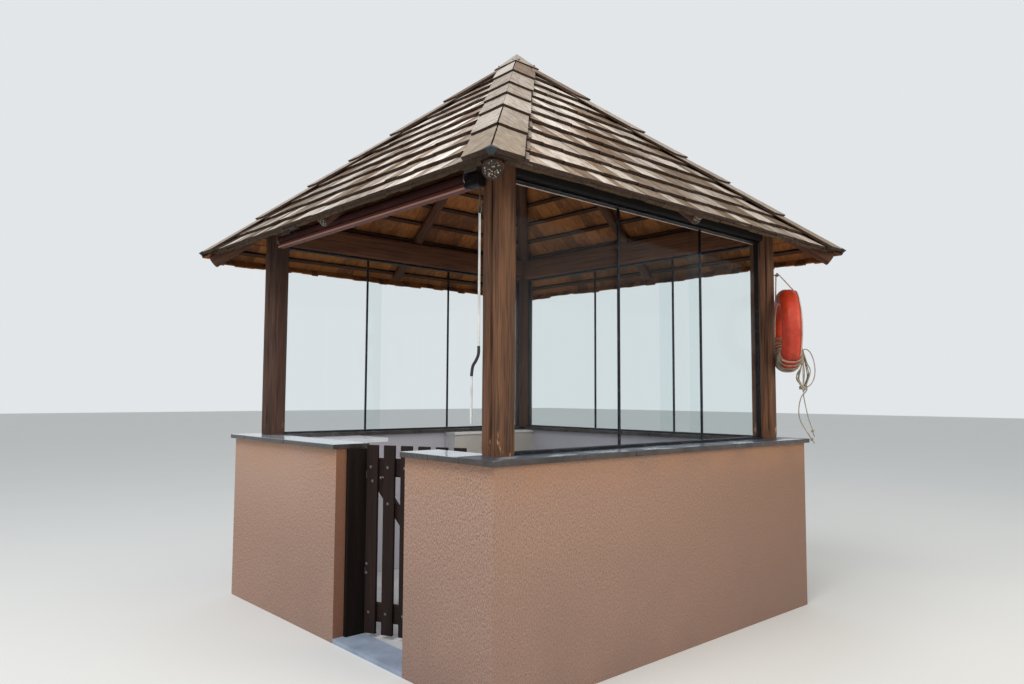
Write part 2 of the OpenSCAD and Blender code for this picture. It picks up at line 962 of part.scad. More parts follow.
module wall_cupboard() {
    color("whitesmoke") {
        span_box(
            [-inner, inner - cupboard_l + cupboard_lip, floor_t],
            [-inner + cupboard_w - cupboard_lip, inner, wall_h]
        );
        span_box([-inner, inner - cupboard_l, wall_h - cupboard_top_t], [-inner + cupboard_w, inner, wall_h]);
    }
}

floor();
threshold();
left_wall();
right_wall();
back_wall();
front_piers();
left_cap();
right_cap();
back_cap();
front_caps();
front_left_post();
front_right_post();
back_left_post();
back_right_post();
front_beam();
right_beam();
back_beam();
left_beam();
king_block();
hip_logs();
middle_logs();
battens();
front_shingles();
right_shingles();
back_shingles();
left_shingles();
hip_boards();
apex_cap();
sliding_panes();
glazing_tracks();
gate_jamb();
jamb_hinges();
gate();
gate_hinge_plates();
awning_roll();
awning_front_bar();
awning_brackets();
awning_crank();
life_ring();
ring_hook();
ring_lines();
rope_winding();
rope_hank();
rope_tails();
corner_shelf();
wall_cupboard();
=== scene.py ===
"""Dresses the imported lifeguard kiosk: shingled roof, log posts, combed walls, glazing, gate, awning and rescue ring.

Every length is in metres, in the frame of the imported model: the front is -Y and the floor is z = 0.
"""

import logging
import math
import random
from collections.abc import Callable, Iterator, Sequence
from dataclasses import dataclass, field
from enum import Enum

import bpy
from mathutils import Matrix, Vector, noise


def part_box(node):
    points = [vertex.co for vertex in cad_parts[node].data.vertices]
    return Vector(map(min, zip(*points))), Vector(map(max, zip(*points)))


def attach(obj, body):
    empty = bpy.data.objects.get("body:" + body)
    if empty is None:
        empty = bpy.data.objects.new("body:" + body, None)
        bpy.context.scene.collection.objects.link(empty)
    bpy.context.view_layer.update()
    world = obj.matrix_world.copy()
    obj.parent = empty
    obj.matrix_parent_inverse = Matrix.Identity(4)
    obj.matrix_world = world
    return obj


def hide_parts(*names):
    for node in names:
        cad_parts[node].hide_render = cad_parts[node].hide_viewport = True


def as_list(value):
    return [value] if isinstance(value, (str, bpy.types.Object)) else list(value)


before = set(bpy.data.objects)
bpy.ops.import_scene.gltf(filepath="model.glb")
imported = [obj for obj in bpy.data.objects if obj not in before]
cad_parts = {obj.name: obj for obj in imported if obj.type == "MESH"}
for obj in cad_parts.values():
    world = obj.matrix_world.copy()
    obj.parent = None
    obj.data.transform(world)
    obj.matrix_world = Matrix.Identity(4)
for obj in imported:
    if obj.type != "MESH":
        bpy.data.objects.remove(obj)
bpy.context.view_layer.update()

log = logging.getLogger("kiosk")

Colour = tuple[int, int, int]
Triple = tuple[float, float, float]
Outline = list[tuple[float, float]]
Level = float | Callable[[float, float], float]
Place = Callable[[float, float, float], Vector]
Ring = list[tuple[Vector, Vector]]

BOARD_SHIFT = 3.7
"""How far the grain of one roof board lies from the next one's."""

HAIR = 0.0002
"""The gap that keeps two faces from lying in one plane."""

FINISHES: dict[str, bpy.types.Material] = {}
"""Every finish by name, filled in by main()."""


# ---------------------------------------------------------------- shared sizes


class Side(Enum):
    """A side of the kiosk, as the number of quarter turns from the right side (+X)."""

    RIGHT = 0
    BACK = 1
    LEFT = 2
    FRONT = 3


class Surface(Enum):
    """The kind of a board's face, kept on the face for its finish."""

    TOP = 0.0
    EDGE = 1.0
    UNDER = 2.0
    END = 3.0


@dataclass(frozen=True)
class Plan:
    """Sizes that several sub-assemblies share, as in the CAD source."""

    post_at: float = 1.3
    post_radius: float = 0.086
    cap_top: float = 1.19
    beam_low: float = 2.635
    beam_top: float = 2.825
    beam_width: float = 0.1
    eave_half: float = 1.725
    pitch: float = math.radians(41.5)
    cover: float = 0.032
    seat: float = 0.0322
    batten: float = 0.024
    hip_log: float = 0.092
    hip_tail: float = 1.655
    middle_log: float = 0.066
    middle_tail: float = 1.620
    log_notch: float = 0.018
    courses: int = 12

    @property
    def rise(self) -> float:
        """Height gained for each metre of plan."""
        return math.tan(self.pitch)

    @property
    def eave_top(self) -> float:
        """Height of the roof surface at the eaves."""
        seat = self.beam_top - self.log_notch + self.middle_log / 2 / math.cos(self.pitch)
        return seat + self.drop(self.middle_log) - (self.eave_half - self.post_at) * self.rise

    @property
    def apex(self) -> float:
        """Height at which the four roof surfaces meet."""
        return self.eave_top + self.eave_half * self.rise

    @property
    def slope(self) -> float:
        """Length of a roof face from eave to apex."""
        return self.eave_half / math.cos(self.pitch)

    @property
    def step(self) -> float:
        """Distance between the butts of two courses."""
        return self.slope / self.courses

    def drop(self, log_size: float) -> float:
        """Depth of a roof log's axis below the roof surface."""
        return (self.seat + log_size / 2) / math.cos(self.pitch)

    def reach(self, up: float) -> float:
        """Half the width of a roof face, up metres up its slope."""
        return self.eave_half - up * math.cos(self.pitch)

    def on_roof(self, side: Side, across: float, up: float, proud: float) -> Vector:
        """A point of a roof face.

        Args:
            side: the face.
            across: distance from the face's middle line, along the eave.
            up: distance from the eave up the slope.
            proud: height above the roof surface, square to it.

        Returns:
            The point in the shared frame.
        """
        out = self.reach(up) + proud * math.sin(self.pitch)
        height = self.eave_top + up * math.sin(self.pitch) + proud * math.cos(self.pitch)
        return quarter_turned(Vector((out, across, height)), side)


PLAN = Plan()


def quarter_turned(point: Vector, side: Side) -> Vector:
    """A point of the right side, carried to another side."""
    x, y, z = point
    return Vector(((x, y, z), (-y, x, z), (-x, -y, z), (y, -x, z))[side.value])


def eased(value: float, low: float, high: float) -> float:
    """0 below low, 1 above high and a smooth step between them."""
    share = min(1.0, max(0.0, (value - low) / (high - low)))
    return share * share * (3 - 2 * share)


# ---------------------------------------------------------------- shader tools


def paint(red: int, green: int, blue: int) -> tuple[float, float, float, float]:
    """A colour given as it shows on a screen, from 0 to 255, as the linear values that shaders take."""

    def linear(value: int) -> float:
        share = value / 255
        return share / 12.92 if share <= 0.04045 else ((share + 0.055) / 1.055) ** 2.4

    return (linear(red), linear(green), linear(blue), 1.0)


def maths(operation: str, swapped: bool = False) -> Callable[..., "Signal"]:
    """A method for Signal that adds one Math node; swapped puts the other value first."""

    def method(self: "Signal", other: object = 0.0) -> "Signal":
        first, second = (other, self) if swapped else (self, other)
        return self.wiring.signal("ShaderNodeMath", {"operation": operation}, {0: first, 1: second})

    return method


class Signal:
    """A value on a wire of a node tree; arithmetic on it adds Math nodes."""

    def __init__(self, wiring: "Wiring", socket: bpy.types.NodeSocket) -> None:
        """Wraps one output socket."""
        self.wiring, self.socket = wiring, socket

    __add__, __radd__ = maths("ADD"), maths("ADD", swapped=True)
    __sub__, __rsub__ = maths("SUBTRACT"), maths("SUBTRACT", swapped=True)
    __mul__, __pow__, __abs__ = maths("MULTIPLY"), maths("POWER"), maths("ABSOLUTE")
    larger, sine = maths("MAXIMUM"), maths("SINE")

    def step(self, low: float, high: float) -> "Signal":
        """0 up to low, 1 from high on, and a smooth step between; low may be the greater."""
        sockets = {"Value": self, "From Min": low, "From Max": high, "To Min": 0.0, "To Max": 1.0}
        return self.wiring.signal("ShaderNodeMapRange", {"interpolation_type": "SMOOTHSTEP"}, sockets)


class Wiring:
    """Adds nodes to one node tree."""

    def __init__(self, tree: bpy.types.NodeTree) -> None:
        """Starts with the tree empty."""
        self.tree = tree
        tree.nodes.clear()

    def feed(self, node: bpy.types.Node, sockets: dict) -> None:
        """Gives a node's inputs, by name or number, their values or signals."""
        for key, value in sockets.items():
            if isinstance(value, Signal):
                self.tree.links.new(value.socket, node.inputs[key])
            else:
                node.inputs[key].default_value = value

    def node(self, kind: str, settings: dict | None = None, sockets: dict | None = None) -> bpy.types.Node:
        """Adds a node, sets its properties and feeds its inputs."""
        made = self.tree.nodes.new(kind)
        for key, value in (settings or {}).items():
            setattr(made, key, value)
        self.feed(made, sockets or {})
        return made

    def signal(
        self, kind: str, settings: dict | None = None, sockets: dict | None = None, output: int | str = 0
    ) -> Signal:
        """Adds a node, as node() does, and returns the signal of one of its outputs."""
        return Signal(self, self.node(kind, settings, sockets).outputs[output])


class Recipe(Wiring):
    """Builds the node tree of one material."""

    def __init__(self, name: str) -> None:
        """Starts a material with one Principled shader."""
        self.material = bpy.data.materials.new(name)
        self.material.use_nodes = True
        super().__init__(self.material.node_tree)
        self.output = self.node("ShaderNodeOutputMaterial")
        self.shader = self.node("ShaderNodeBsdfPrincipled")
        self.feed(self.output, {"Surface": Signal(self, self.shader.outputs[0])})

    def place(self) -> Signal:
        """The point in the object's own frame, which is the shared frame."""
        return self.signal("ShaderNodeTexCoord", output="Object")

    def axes(self, vector: Signal) -> tuple[Signal, Signal, Signal]:
        """The three parts of a vector."""
        split = self.node("ShaderNodeSeparateXYZ", sockets={0: vector})
        return tuple(Signal(self, split.outputs[i]) for i in range(3))

    def kept(self, name: str) -> Signal:
        """A vector or number that the mesh carries under that name."""
        output = "Fac" if name == "surface" else "Vector"
        return self.signal("ShaderNodeAttribute", {"attribute_name": name}, output=output)

    def noise(
        self,
        vector: Signal,
        scale: float = 1.0,
        detail: float = 3.0,
        rough: float = 0.55,
        bend: float = 0.0,
        by: Triple | None = None,
    ) -> Signal:
        """Cloudy noise from 0 to 1; by scales its vector along each axis first."""
        if by:
            vector = self.signal("ShaderNodeVectorMath", {"operation": "MULTIPLY"}, {0: vector, 1: by})
        sockets = {"Vector": vector, "Scale": scale, "Detail": detail, "Roughness": rough, "Distortion": bend}
        return self.signal("ShaderNodeTexNoise", sockets=sockets)

    def over(self, colour: Colour | Signal, *layers: tuple[Signal, Colour | Signal]) -> Signal:
        """A colour with others laid over it in turn, each by its own factor."""
        settings = {"data_type": "RGBA", "blend_type": "MIX", "clamp_result": True}
        for factor, above in layers:
            first, second = (c if isinstance(c, Signal) else paint(*c) for c in (colour, above))
            colour = self.signal("ShaderNodeMix", settings, {0: factor, 6: first, 7: second}, output=2)
        return colour

    def finish(
        self, colour: Signal, rough: object, height: Signal | None = None, depth: float = 0.001, **others: object
    ) -> bpy.types.Material:
        """Connects the shader.

        Args:
            colour: the base colour.
            rough: the roughness, a number or a signal.
            height: relief from 0 to 1, or None.
            depth: the relief's real depth.
            others: numbers or signals for the shader's other sockets, with _ for a space.

        Returns:
            The material.
        """
        sockets = {"Base Color": colour, "Roughness": rough}
        sockets.update({name.replace("_", " "): value for name, value in others.items()})
        if height is not None:
            relief = {"Strength": 1.0, "Distance": depth, "Height": height}
            sockets["Normal"] = self.signal("ShaderNodeBump", sockets=relief)
        self.feed(self.shader, sockets)
        return self.material


# ---------------------------------------------------------------- finishes


@dataclass(frozen=True)
class CombedRender:
    """Salmon render, combed upright while wet, with plain pale plaster on the faces inside the room; painted shade
    darkens it towards the back, at the foot and in the doorway reveal, and painted light lightens the left walls above
    the foot.
    """

    name: str = "combed_render"
    light: Colour = (192, 158, 139)
    deep: Colour = (134, 101, 85)
    fleck: Colour = (104, 76, 64)
    middle: Colour = (163, 129, 112)
    shade: Colour = (134, 101, 82)
    under_cap: Colour = (188, 138, 102)
    # Painted shade at the foot of the walls.
    foot: Colour = (132, 108, 100)
    # Painted shade in the doorway reveal.
    reveal: Colour = (142, 94, 68)
    plaster: Colour = (180, 178, 190)
    pale_plaster: Colour = (192, 190, 198)

    def material(self) -> bpy.types.Material:
        """Builds the material."""
        r = Recipe(self.name)
        at = r.place()
        x, y, z = r.axes(at)
        combed = r.noise(at, 210, 3, 0.62, by=(1, 1, 0.42))
        pits = r.noise(at, 130, 2, 0.7, by=(1, 1, 0.6))
        flecks = r.noise(at, 260, 2, 0.5, by=(1, 1, 0.5))
        streak = (combed - 0.5) * 1.1 + (pits - 0.5) * 0.7 + 0.5
        cloud = r.noise(at, 2.2, 4, 0.6)
        inside = abs(x).larger(abs(y)).step(1.3012, 1.3004)
        colour = r.over(
            self.deep,
            (streak.step(0.3, 0.66), self.light),
            (flecks.step(0.6, 0.68) * 0.6, self.fleck),
            (x.step(1.494, 1.499) * 0.35, self.middle),
            (y.step(-1.3, 1.8) * 0.75, self.shade),
            # Painted light: the walls on the left are lightened from about 0.4 m up.
            (x.step(0.3, -0.7) * z.step(0.4, 1.1) * 0.5, self.light),
            (z.step(0.9, 1.16) * cloud.step(0.3, 0.75) * 0.5, self.under_cap),
            # Painted shade: darker towards the foot, less so on the left.
            (z.step(1.15, -0.1) * (cloud.step(0.75, 0.3) * 0.3 + 0.4) * x.step(-1.9, 0.6), self.foot),
            # Painted shade: the doorway reveal face is toned a darker, warmer salmon.
            (abs(x - 0.025).step(0.0015, 0.0005) * 0.85, self.reveal),
            (inside, r.over(self.plaster, (cloud, self.pale_plaster))),
        )
        return r.finish(colour, 0.92, streak.step(0.1, 0.9) * (1 - inside * 0.9), 0.0022)


@dataclass(frozen=True)
class PolishedSlate:
    """Slate cap stones with a polished top and sawn edges; the tops carry a painted reflection of the pale sky, and
    painted shade from x = 1.24 on, over the right cap.
    """

    name: str = "polished_slate"
    dark: Colour = (44, 39, 38)
    pale: Colour = (74, 66, 62)
    # Painted shade on the tops near and over the right cap.
    wet: Colour = (58, 64, 76)
    # Painted reflection of the pale sky on the polished tops.
    top_reflection_dark: Colour = (136, 146, 158)
    top_reflection_pale: Colour = (176, 186, 196)
    speck: Colour = (150, 152, 156)

    def material(self) -> bpy.types.Material:
        """Builds the material."""
        r = Recipe(self.name)
        at = r.place()
        x, _, z = r.axes(at)
        cloud = r.noise(at, 9, 6, 0.65, 0.6)
        grit = r.noise(at, 260, 2, 0.6)
        streak = r.noise(at, 2.2, 2, 0.5, by=(3, 1.4, 1)).step(0.52, 0.6)
        # Painted shade on the tops from x = 1.24 on, broken up by streaks.
        shaded = x.step(1.2, 1.24) * (1 - streak * 0.7)
        patch = cloud.step(0.3, 0.7)
        # The tops take the painted sky reflection, and painted shade where shaded.
        top = r.over(self.top_reflection_dark, (patch, self.top_reflection_pale), (shaded, self.wet))
        specks = (grit.step(0.62, 0.8) * 0.3, self.speck)
        colour = r.over(self.dark, (patch, self.pale), (z.step(1.1884, 1.1897), top), specks)
        rough = 0.14 + cloud * 0.14 + shaded * 0.2
        return r.finish(colour, rough, grit, 0.0002, Coat_Weight=0.5 - shaded * 0.5, Coat_Roughness=0.06)


@dataclass(frozen=True)
class Timber:
    """Sawn or peeled timber; the colours run along the grain that the mesh carries, and the outer colour, where given,
    is painted shade on a beam's outer face.
    """

    name: str
    light: Colour
    dark: Colour
    check: Colour = (30, 20, 15)
    end: Colour = (120, 96, 72)
    heart: Colour = (48, 35, 26)
    rough: float = 0.62
    peeled: Colour | None = None
    # Painted shade for the outer face of a beam under the eave.
    outer: Colour | None = None
    shine: float = 0.5

    def material(self) -> bpy.types.Material:
        """Builds the material."""
        r = Recipe(self.name)
        at, grain, tone = r.place(), r.kept("grain"), r.axes(r.kept("tone"))[0]
        x, y, z = r.axes(at)
        _, across, through = r.axes(grain)
        fibres = r.noise(grain, 1, 4, 0.62, 0.3, (4, 130, 130))
        bands = r.noise(grain, 1, 3, 0.55, 0.8, (1.3, 24, 24))
        split = r.noise(grain, 1, 2, 0.5, by=(1.6, 90, 90)).step(0.66, 0.74)
        out = (across * across + through * through) ** 0.5
        rings = (out * 900 + bands * 6).sine()
        mould = r.noise(at, 110, 3, 0.6).step(0.63, 0.565)
        rot = (rings.step(-0.2, 0.7) * 0.3 + mould).larger(out.step(0.036, 0.043))
        layers = [
            ((fibres * 0.55 + bands * 0.45).step(0.3, 0.68), self.light),
            (tone * 0.35, self.dark),
            (split * 0.8, self.check),
            (r.kept("surface").step(2.5, 2.9), r.over(self.end, (rot, self.heart))),
        ]
        if self.peeled:
            patch = r.noise(grain, 1, 3, 0.6, by=(7, 26, 26))
            layers.append((patch.step(0.61, 0.64) * z.step(1.34, 1.24) * 0.85, self.peeled))
        if self.outer:
            # Painted shade: the beam's outer face takes the outer colour.
            layers.append((abs(x).larger(abs(y)).step(1.3235, 1.3265), self.outer))
        height = fibres * 0.6 + bands * 0.4 - split * 0.8
        colour = r.over(self.dark, *layers)
        return r.finish(colour, self.rough + fibres * 0.18, height, 0.0016, Specular_IOR_Level=self.shine)


@dataclass(frozen=True)
class Shingle:
    """Split shingles: weathered above, dark at the butts, from their end grain and from painted shade, and reddish
    where they are sheltered.
    """

    name: str = "shingle"
    silver: Colour = (246, 237, 226)
    brown: Colour = (94, 69, 48)
    pink: Colour = (148, 118, 92)
    pale: Colour = (176, 165, 154)
    mossy: Colour = (122, 104, 74)
    tan: Colour = (98, 79, 60)
    lilac: Colour = (108, 97, 104)
    # Aged wood; on the hip side strips it is partly painted shade.
    aged: Colour = (88, 70, 58)
    # Painted shade that deepens away from the near hip.
    far: Colour = (96, 76, 52)
    # The butts' dark end grain, with painted shade in it.
    butt: Colour = (40, 24, 13)
    worn_butt: Colour = (92, 64, 46)
    under: Colour = (176, 108, 52)
    under_dark: Colour = (104, 62, 32)

    def material(self) -> bpy.types.Material:
        """Builds the material; a painted highlight lies along the near hip and painted shade deepens away from it."""
        r = Recipe(self.name)
        grain, face = r.kept("grain"), r.kept("surface")
        tone, age, pale = r.axes(r.kept("tone"))
        x, y, z = r.axes(r.place())
        fibres = r.noise(grain, 1, 3, 0.6, 0.2, (16, 120, 60))
        blotch = r.noise(grain, 1, 4, 0.65, by=(12, 17, 17))
        stain = r.noise(grain, 1, 3, 0.6, by=(8, 11, 11))
        split = r.noise(grain, 1, 2, 0.5, by=(3, 90, 60)).step(0.67, 0.73)
        aside = abs(x + y + 0.2)
        mottled = (fibres * 0.5 + blotch * 0.3 + tone * 0.2).step(0.34, 0.62)
        chalky = r.over(
            self.pale,
            ((blotch * 0.4 + fibres * 0.6).step(0.36, 0.66) * 0.75, self.tan),
            (stain.step(0.52, 0.72) * 0.4, self.lilac),
            (z.step(3.0, 2.7) * 0.45, self.mossy),
        )
        colour = r.over(
            self.silver,
            (tone.step(0.1, 0.95), self.pink),
            (blotch.step(0.42, 0.60) * (tone * 0.8 + 0.2), self.brown),
            # Painted highlight near the near hip, and painted shade farther from it.
            (aside.step(1.3, 0.3) * (1.1 - tone) * 0.55, self.silver),
            (aside.step(0.3, 1.8) * (tone * 0.6 + 0.4), self.far),
            (pale, chalky),
            (age * 0.85, self.aged),
            (fibres.step(0.48, 0.74) * 0.55, self.brown),
            (split * 0.7, self.butt),
            # Butt faces: dark end grain and painted shade.
            (face.step(0.4, 0.6), r.over(self.butt, (fibres.step(0.35, 0.75) * 0.5, self.worn_butt))),
            (face.step(1.4, 1.6), r.over(self.under, (mottled, self.under_dark))),
        )
        return r.finish(colour, 0.84, fibres * 0.7 + blotch * 0.3 - split, 0.0014)


@dataclass(frozen=True)
class PaneGlass:
    """Clear float glass that lets lamps through and mirrors by its angle."""

    name: str = "pane_glass"
    tint: Colour = (250, 252, 252)
    mirror: float = 0.2

    def material(self) -> bpy.types.Material:
        """Builds the material."""
        r = Recipe(self.name)
        r.tree.nodes.remove(r.shader)
        clear = r.signal("ShaderNodeBsdfTransparent", sockets={"Color": paint(*self.tint)})
        mirror = r.signal("ShaderNodeBsdfGlossy", sockets={"Color": (1, 1, 1, 1), "Roughness": 0.0})
        facing = r.signal("ShaderNodeLayerWeight", sockets={"Blend": 0.5}, output="Facing")
        share = (facing**5 * 0.96 + 0.04) * self.mirror
        mix = r.signal("ShaderNodeMixShader", sockets={0: share, 1: clear, 2: mirror})
        r.feed(r.output, {"Surface": mix})
        return r.material


@dataclass(frozen=True)
class Metal:
    """Metal with a worn, slightly uneven surface."""

    name: str
    colour: Colour
    worn: Colour
    metallic: float = 1.0
    rough: float = 0.35
    lip: Colour | None = None
    lip_z: tuple[float, float] = (2.5606, 2.5715)

    def material(self) -> bpy.types.Material:
        """Builds the material; the lip is a paler band between two heights."""
        r = Recipe(self.name)
        at = r.place()
        cloud = r.noise(at, 26, 5, 0.65)
        scuffs = r.noise(at, 90, 2, 0.5, by=(1, 1, 6))
        layers = [(cloud.step(0.5, 0.8) * 0.6 + scuffs.step(0.7, 0.85) * 0.3, self.worn)]
        if self.lip:
            z, (low, high) = r.axes(at)[2], self.lip_z
            layers.append((z.step(low - 0.0004, low) * z.step(high + 0.001, high), self.lip))
        rough = self.rough + cloud * 0.2
        return r.finish(r.over(self.colour, *layers), rough, scuffs, 0.0001, Metallic=self.metallic)


@dataclass(frozen=True)
class Plain:
    """A painted, cast or trowelled surface with soft clouds and fine grit."""

    name: str
    light: Colour
    dark: Colour
    rough: float = 0.6
    cloud_scale: float = 5.0
    grit_scale: float = 180.0
    grit_depth: float = 0.0003
    coat: float = 0.0

    def material(self) -> bpy.types.Material:
        """Builds the material."""
        r = Recipe(self.name)
        at = r.place()
        cloud = r.noise(at, self.cloud_scale, 5, 0.6, 0.3)
        grit = r.noise(at, self.grit_scale, 3, 0.6)
        specks = (grit.step(0.62, 0.85) * 0.35, self.dark)
        colour = r.over(self.light, (cloud.step(0.3, 0.75), self.dark), specks)
        return r.finish(colour, self.rough + cloud * 0.12, grit, self.grit_depth, Coat_Weight=self.coat)


@dataclass(frozen=True)
class Canvas:
    """Woven awning canvas; the weave follows the mesh's own turns."""

    name: str = "awning_canvas"
    warp: Colour = (60, 25, 20)
    weft: Colour = (42, 17, 13)
    faded: Colour = (76, 40, 32)
    threads: float = 2600.0

    def material(self) -> bpy.types.Material:
        """Builds the material."""
        r = Recipe(self.name)
        along, across, _ = r.axes(r.kept("grain"))
        weave = (along * self.threads).sine() * (across * self.threads).sine()
        worn = r.noise(r.place(), 7, 5, 0.6).step(0.45, 0.75) * 0.7
        colour = r.over(self.warp, (weave.step(-0.6, 0.6), self.weft), (worn, self.faded))
        return r.finish(colour, 0.8, weave * 0.5 + 0.5, 0.0003, Specular_IOR_Level=0.2)


@dataclass(frozen=True)
class LaidRope:
    """Three-strand rope; the strands wind along the mesh's own length, with painted shade in the grooves between them.
    """

    name: str
    clean: Colour
    soiled: Colour
    # Painted shade in the grooves between the strands.
    strand: Colour = (92, 88, 74)

    def material(self) -> bpy.types.Material:
        """Builds the material."""
        r = Recipe(self.name)
        along, around, _ = r.axes(r.signal("ShaderNodeUVMap", {"uv_map": "turns"}))
        lay = (along * 190 + around * (3 * math.tau)).sine()
        yarn = (along * 520 - around * (9 * math.tau)).sine()
        dirt = r.noise(r.place(), 22, 4, 0.6).step(0.35, 0.7)
        # Painted shade: darker where the lay dips between the strands.
        colour = r.over(self.clean, (dirt, self.soiled), (lay.step(-0.45, -0.95) * 0.85, self.strand))
        return r.finish(colour, 0.88, lay * 0.4 + yarn * 0.1 + 0.5, 0.0016)


@dataclass(frozen=True)
class RingShell:
    """Sun-faded orange shell of the rescue ring."""

    name: str = "ring_shell"
    bright: Colour = (216, 66, 32)
    deep: Colour = (166, 44, 24)
    chalk: Colour = (214, 104, 66)

    def material(self) -> bpy.types.Material:
        """Builds the material."""
        r = Recipe(self.name)
        at = r.place()
        cloud = r.noise(at, 8, 4, 0.6)
        scuff = r.noise(at, 70, 3, 0.7, by=(1, 1, 0.3))
        chalk = (scuff.step(0.6, 0.8) * 0.2, self.chalk)
        colour = r.over(self.bright, (cloud.step(0.3, 0.75), self.deep), chalk)
        return r.finish(colour, 0.42 + cloud * 0.15, scuff, 0.0003, Coat_Weight=0.1)


MAKERS = (
    CombedRender(),
    PolishedSlate(),
    Timber("post_log", (123, 84, 58), (50, 32, 23), peeled=(184, 140, 104), shine=0.35),
    Timber("shaded_post", (92, 64, 50), (50, 33, 28), peeled=(150, 112, 84), shine=0.35),
    Timber("beam_timber", (120, 76, 50), (68, 42, 29), shine=0.35),
    # Beam timber with painted shade on its outer face.
    Timber("beam_outer_shaded", (120, 76, 50), (68, 42, 29), outer=(14, 11, 10), shine=0.3),
    Timber("roof_log", (104, 66, 45), (58, 36, 26), end=(206, 196, 176), shine=0.35),
    Timber("gate_wood", (50, 34, 29), (26, 17, 15), rough=0.6, shine=0.2),
    Timber("jamb_wood", (34, 23, 20), (18, 12, 11), rough=0.6, shine=0.15),
    # Batten wood: its own brown, darkened further as painted shade under the shingles.
    Timber("batten_wood", (84, 55, 37), (54, 35, 24), rough=0.7, shine=0.3),
    Timber("eave_wood", (96, 76, 56), (44, 32, 23), rough=0.8, shine=0.2),
    Shingle(),
    PaneGlass(),
    Metal("dark_profile", (38, 38, 42), (84, 86, 92), 0.8, 0.32),
    Metal("track_metal", (46, 48, 54), (112, 116, 124), 0.9, 0.26),
    Metal("steel", (120, 118, 112), (86, 66, 52), 1.0, 0.34),
    Metal("lead_sheet", (66, 70, 76), (40, 42, 46), 0.6, 0.6),
    Metal("bar_metal", (104, 56, 48), (84, 44, 38), 0.2, 0.5, (214, 164, 150)),
    Metal("gear_metal", (26, 26, 27), (60, 60, 62), 0.5, 0.4),
    Metal("bracket_metal", (120, 124, 126), (80, 80, 80), 0.8, 0.4),
    Plain("crank_paint", (226, 227, 227), (186, 186, 184), 0.35, 12, 200, 0.0001, 0.2),
    Plain("grip_rubber", (44, 46, 62), (26, 27, 34), 0.6, 30),
    # Painted highlight: the pale line along the right upper track.
    Plain("painted_highlight_strip", (252, 216, 198), (214, 172, 154), 0.6, 30),
    Plain("floor_screed", (206, 206, 208), (182, 182, 184), 0.55, 3, 150),
    Plain("threshold_stone", (158, 170, 188), (130, 143, 163), 0.5, 6, 160),
    Plain("shelf_slab", (236, 239, 244), (220, 224, 232), 0.25, 5, 220, 0.0001, 0.4),
    # Painted shade: the cupboard's shaded colour, on its body and doors.
    Plain("cupboard_panel", (196, 190, 182), (178, 172, 166), 0.45, 3, 240, 0.0001),
    # Painted light: the cupboard's lit colour, on its end panel and top.
    Plain("cupboard_lit_face", (226, 226, 224), (204, 204, 204), 0.4, 3, 240, 0.0001),
    Canvas(),
    RingShell(),
    LaidRope("throw_rope", (204, 194, 172), (150, 142, 122)),
    LaidRope("grab_rope", (240, 222, 206), (208, 178, 156), (168, 132, 110)),
)


# ---------------------------------------------------------------- mesh tools


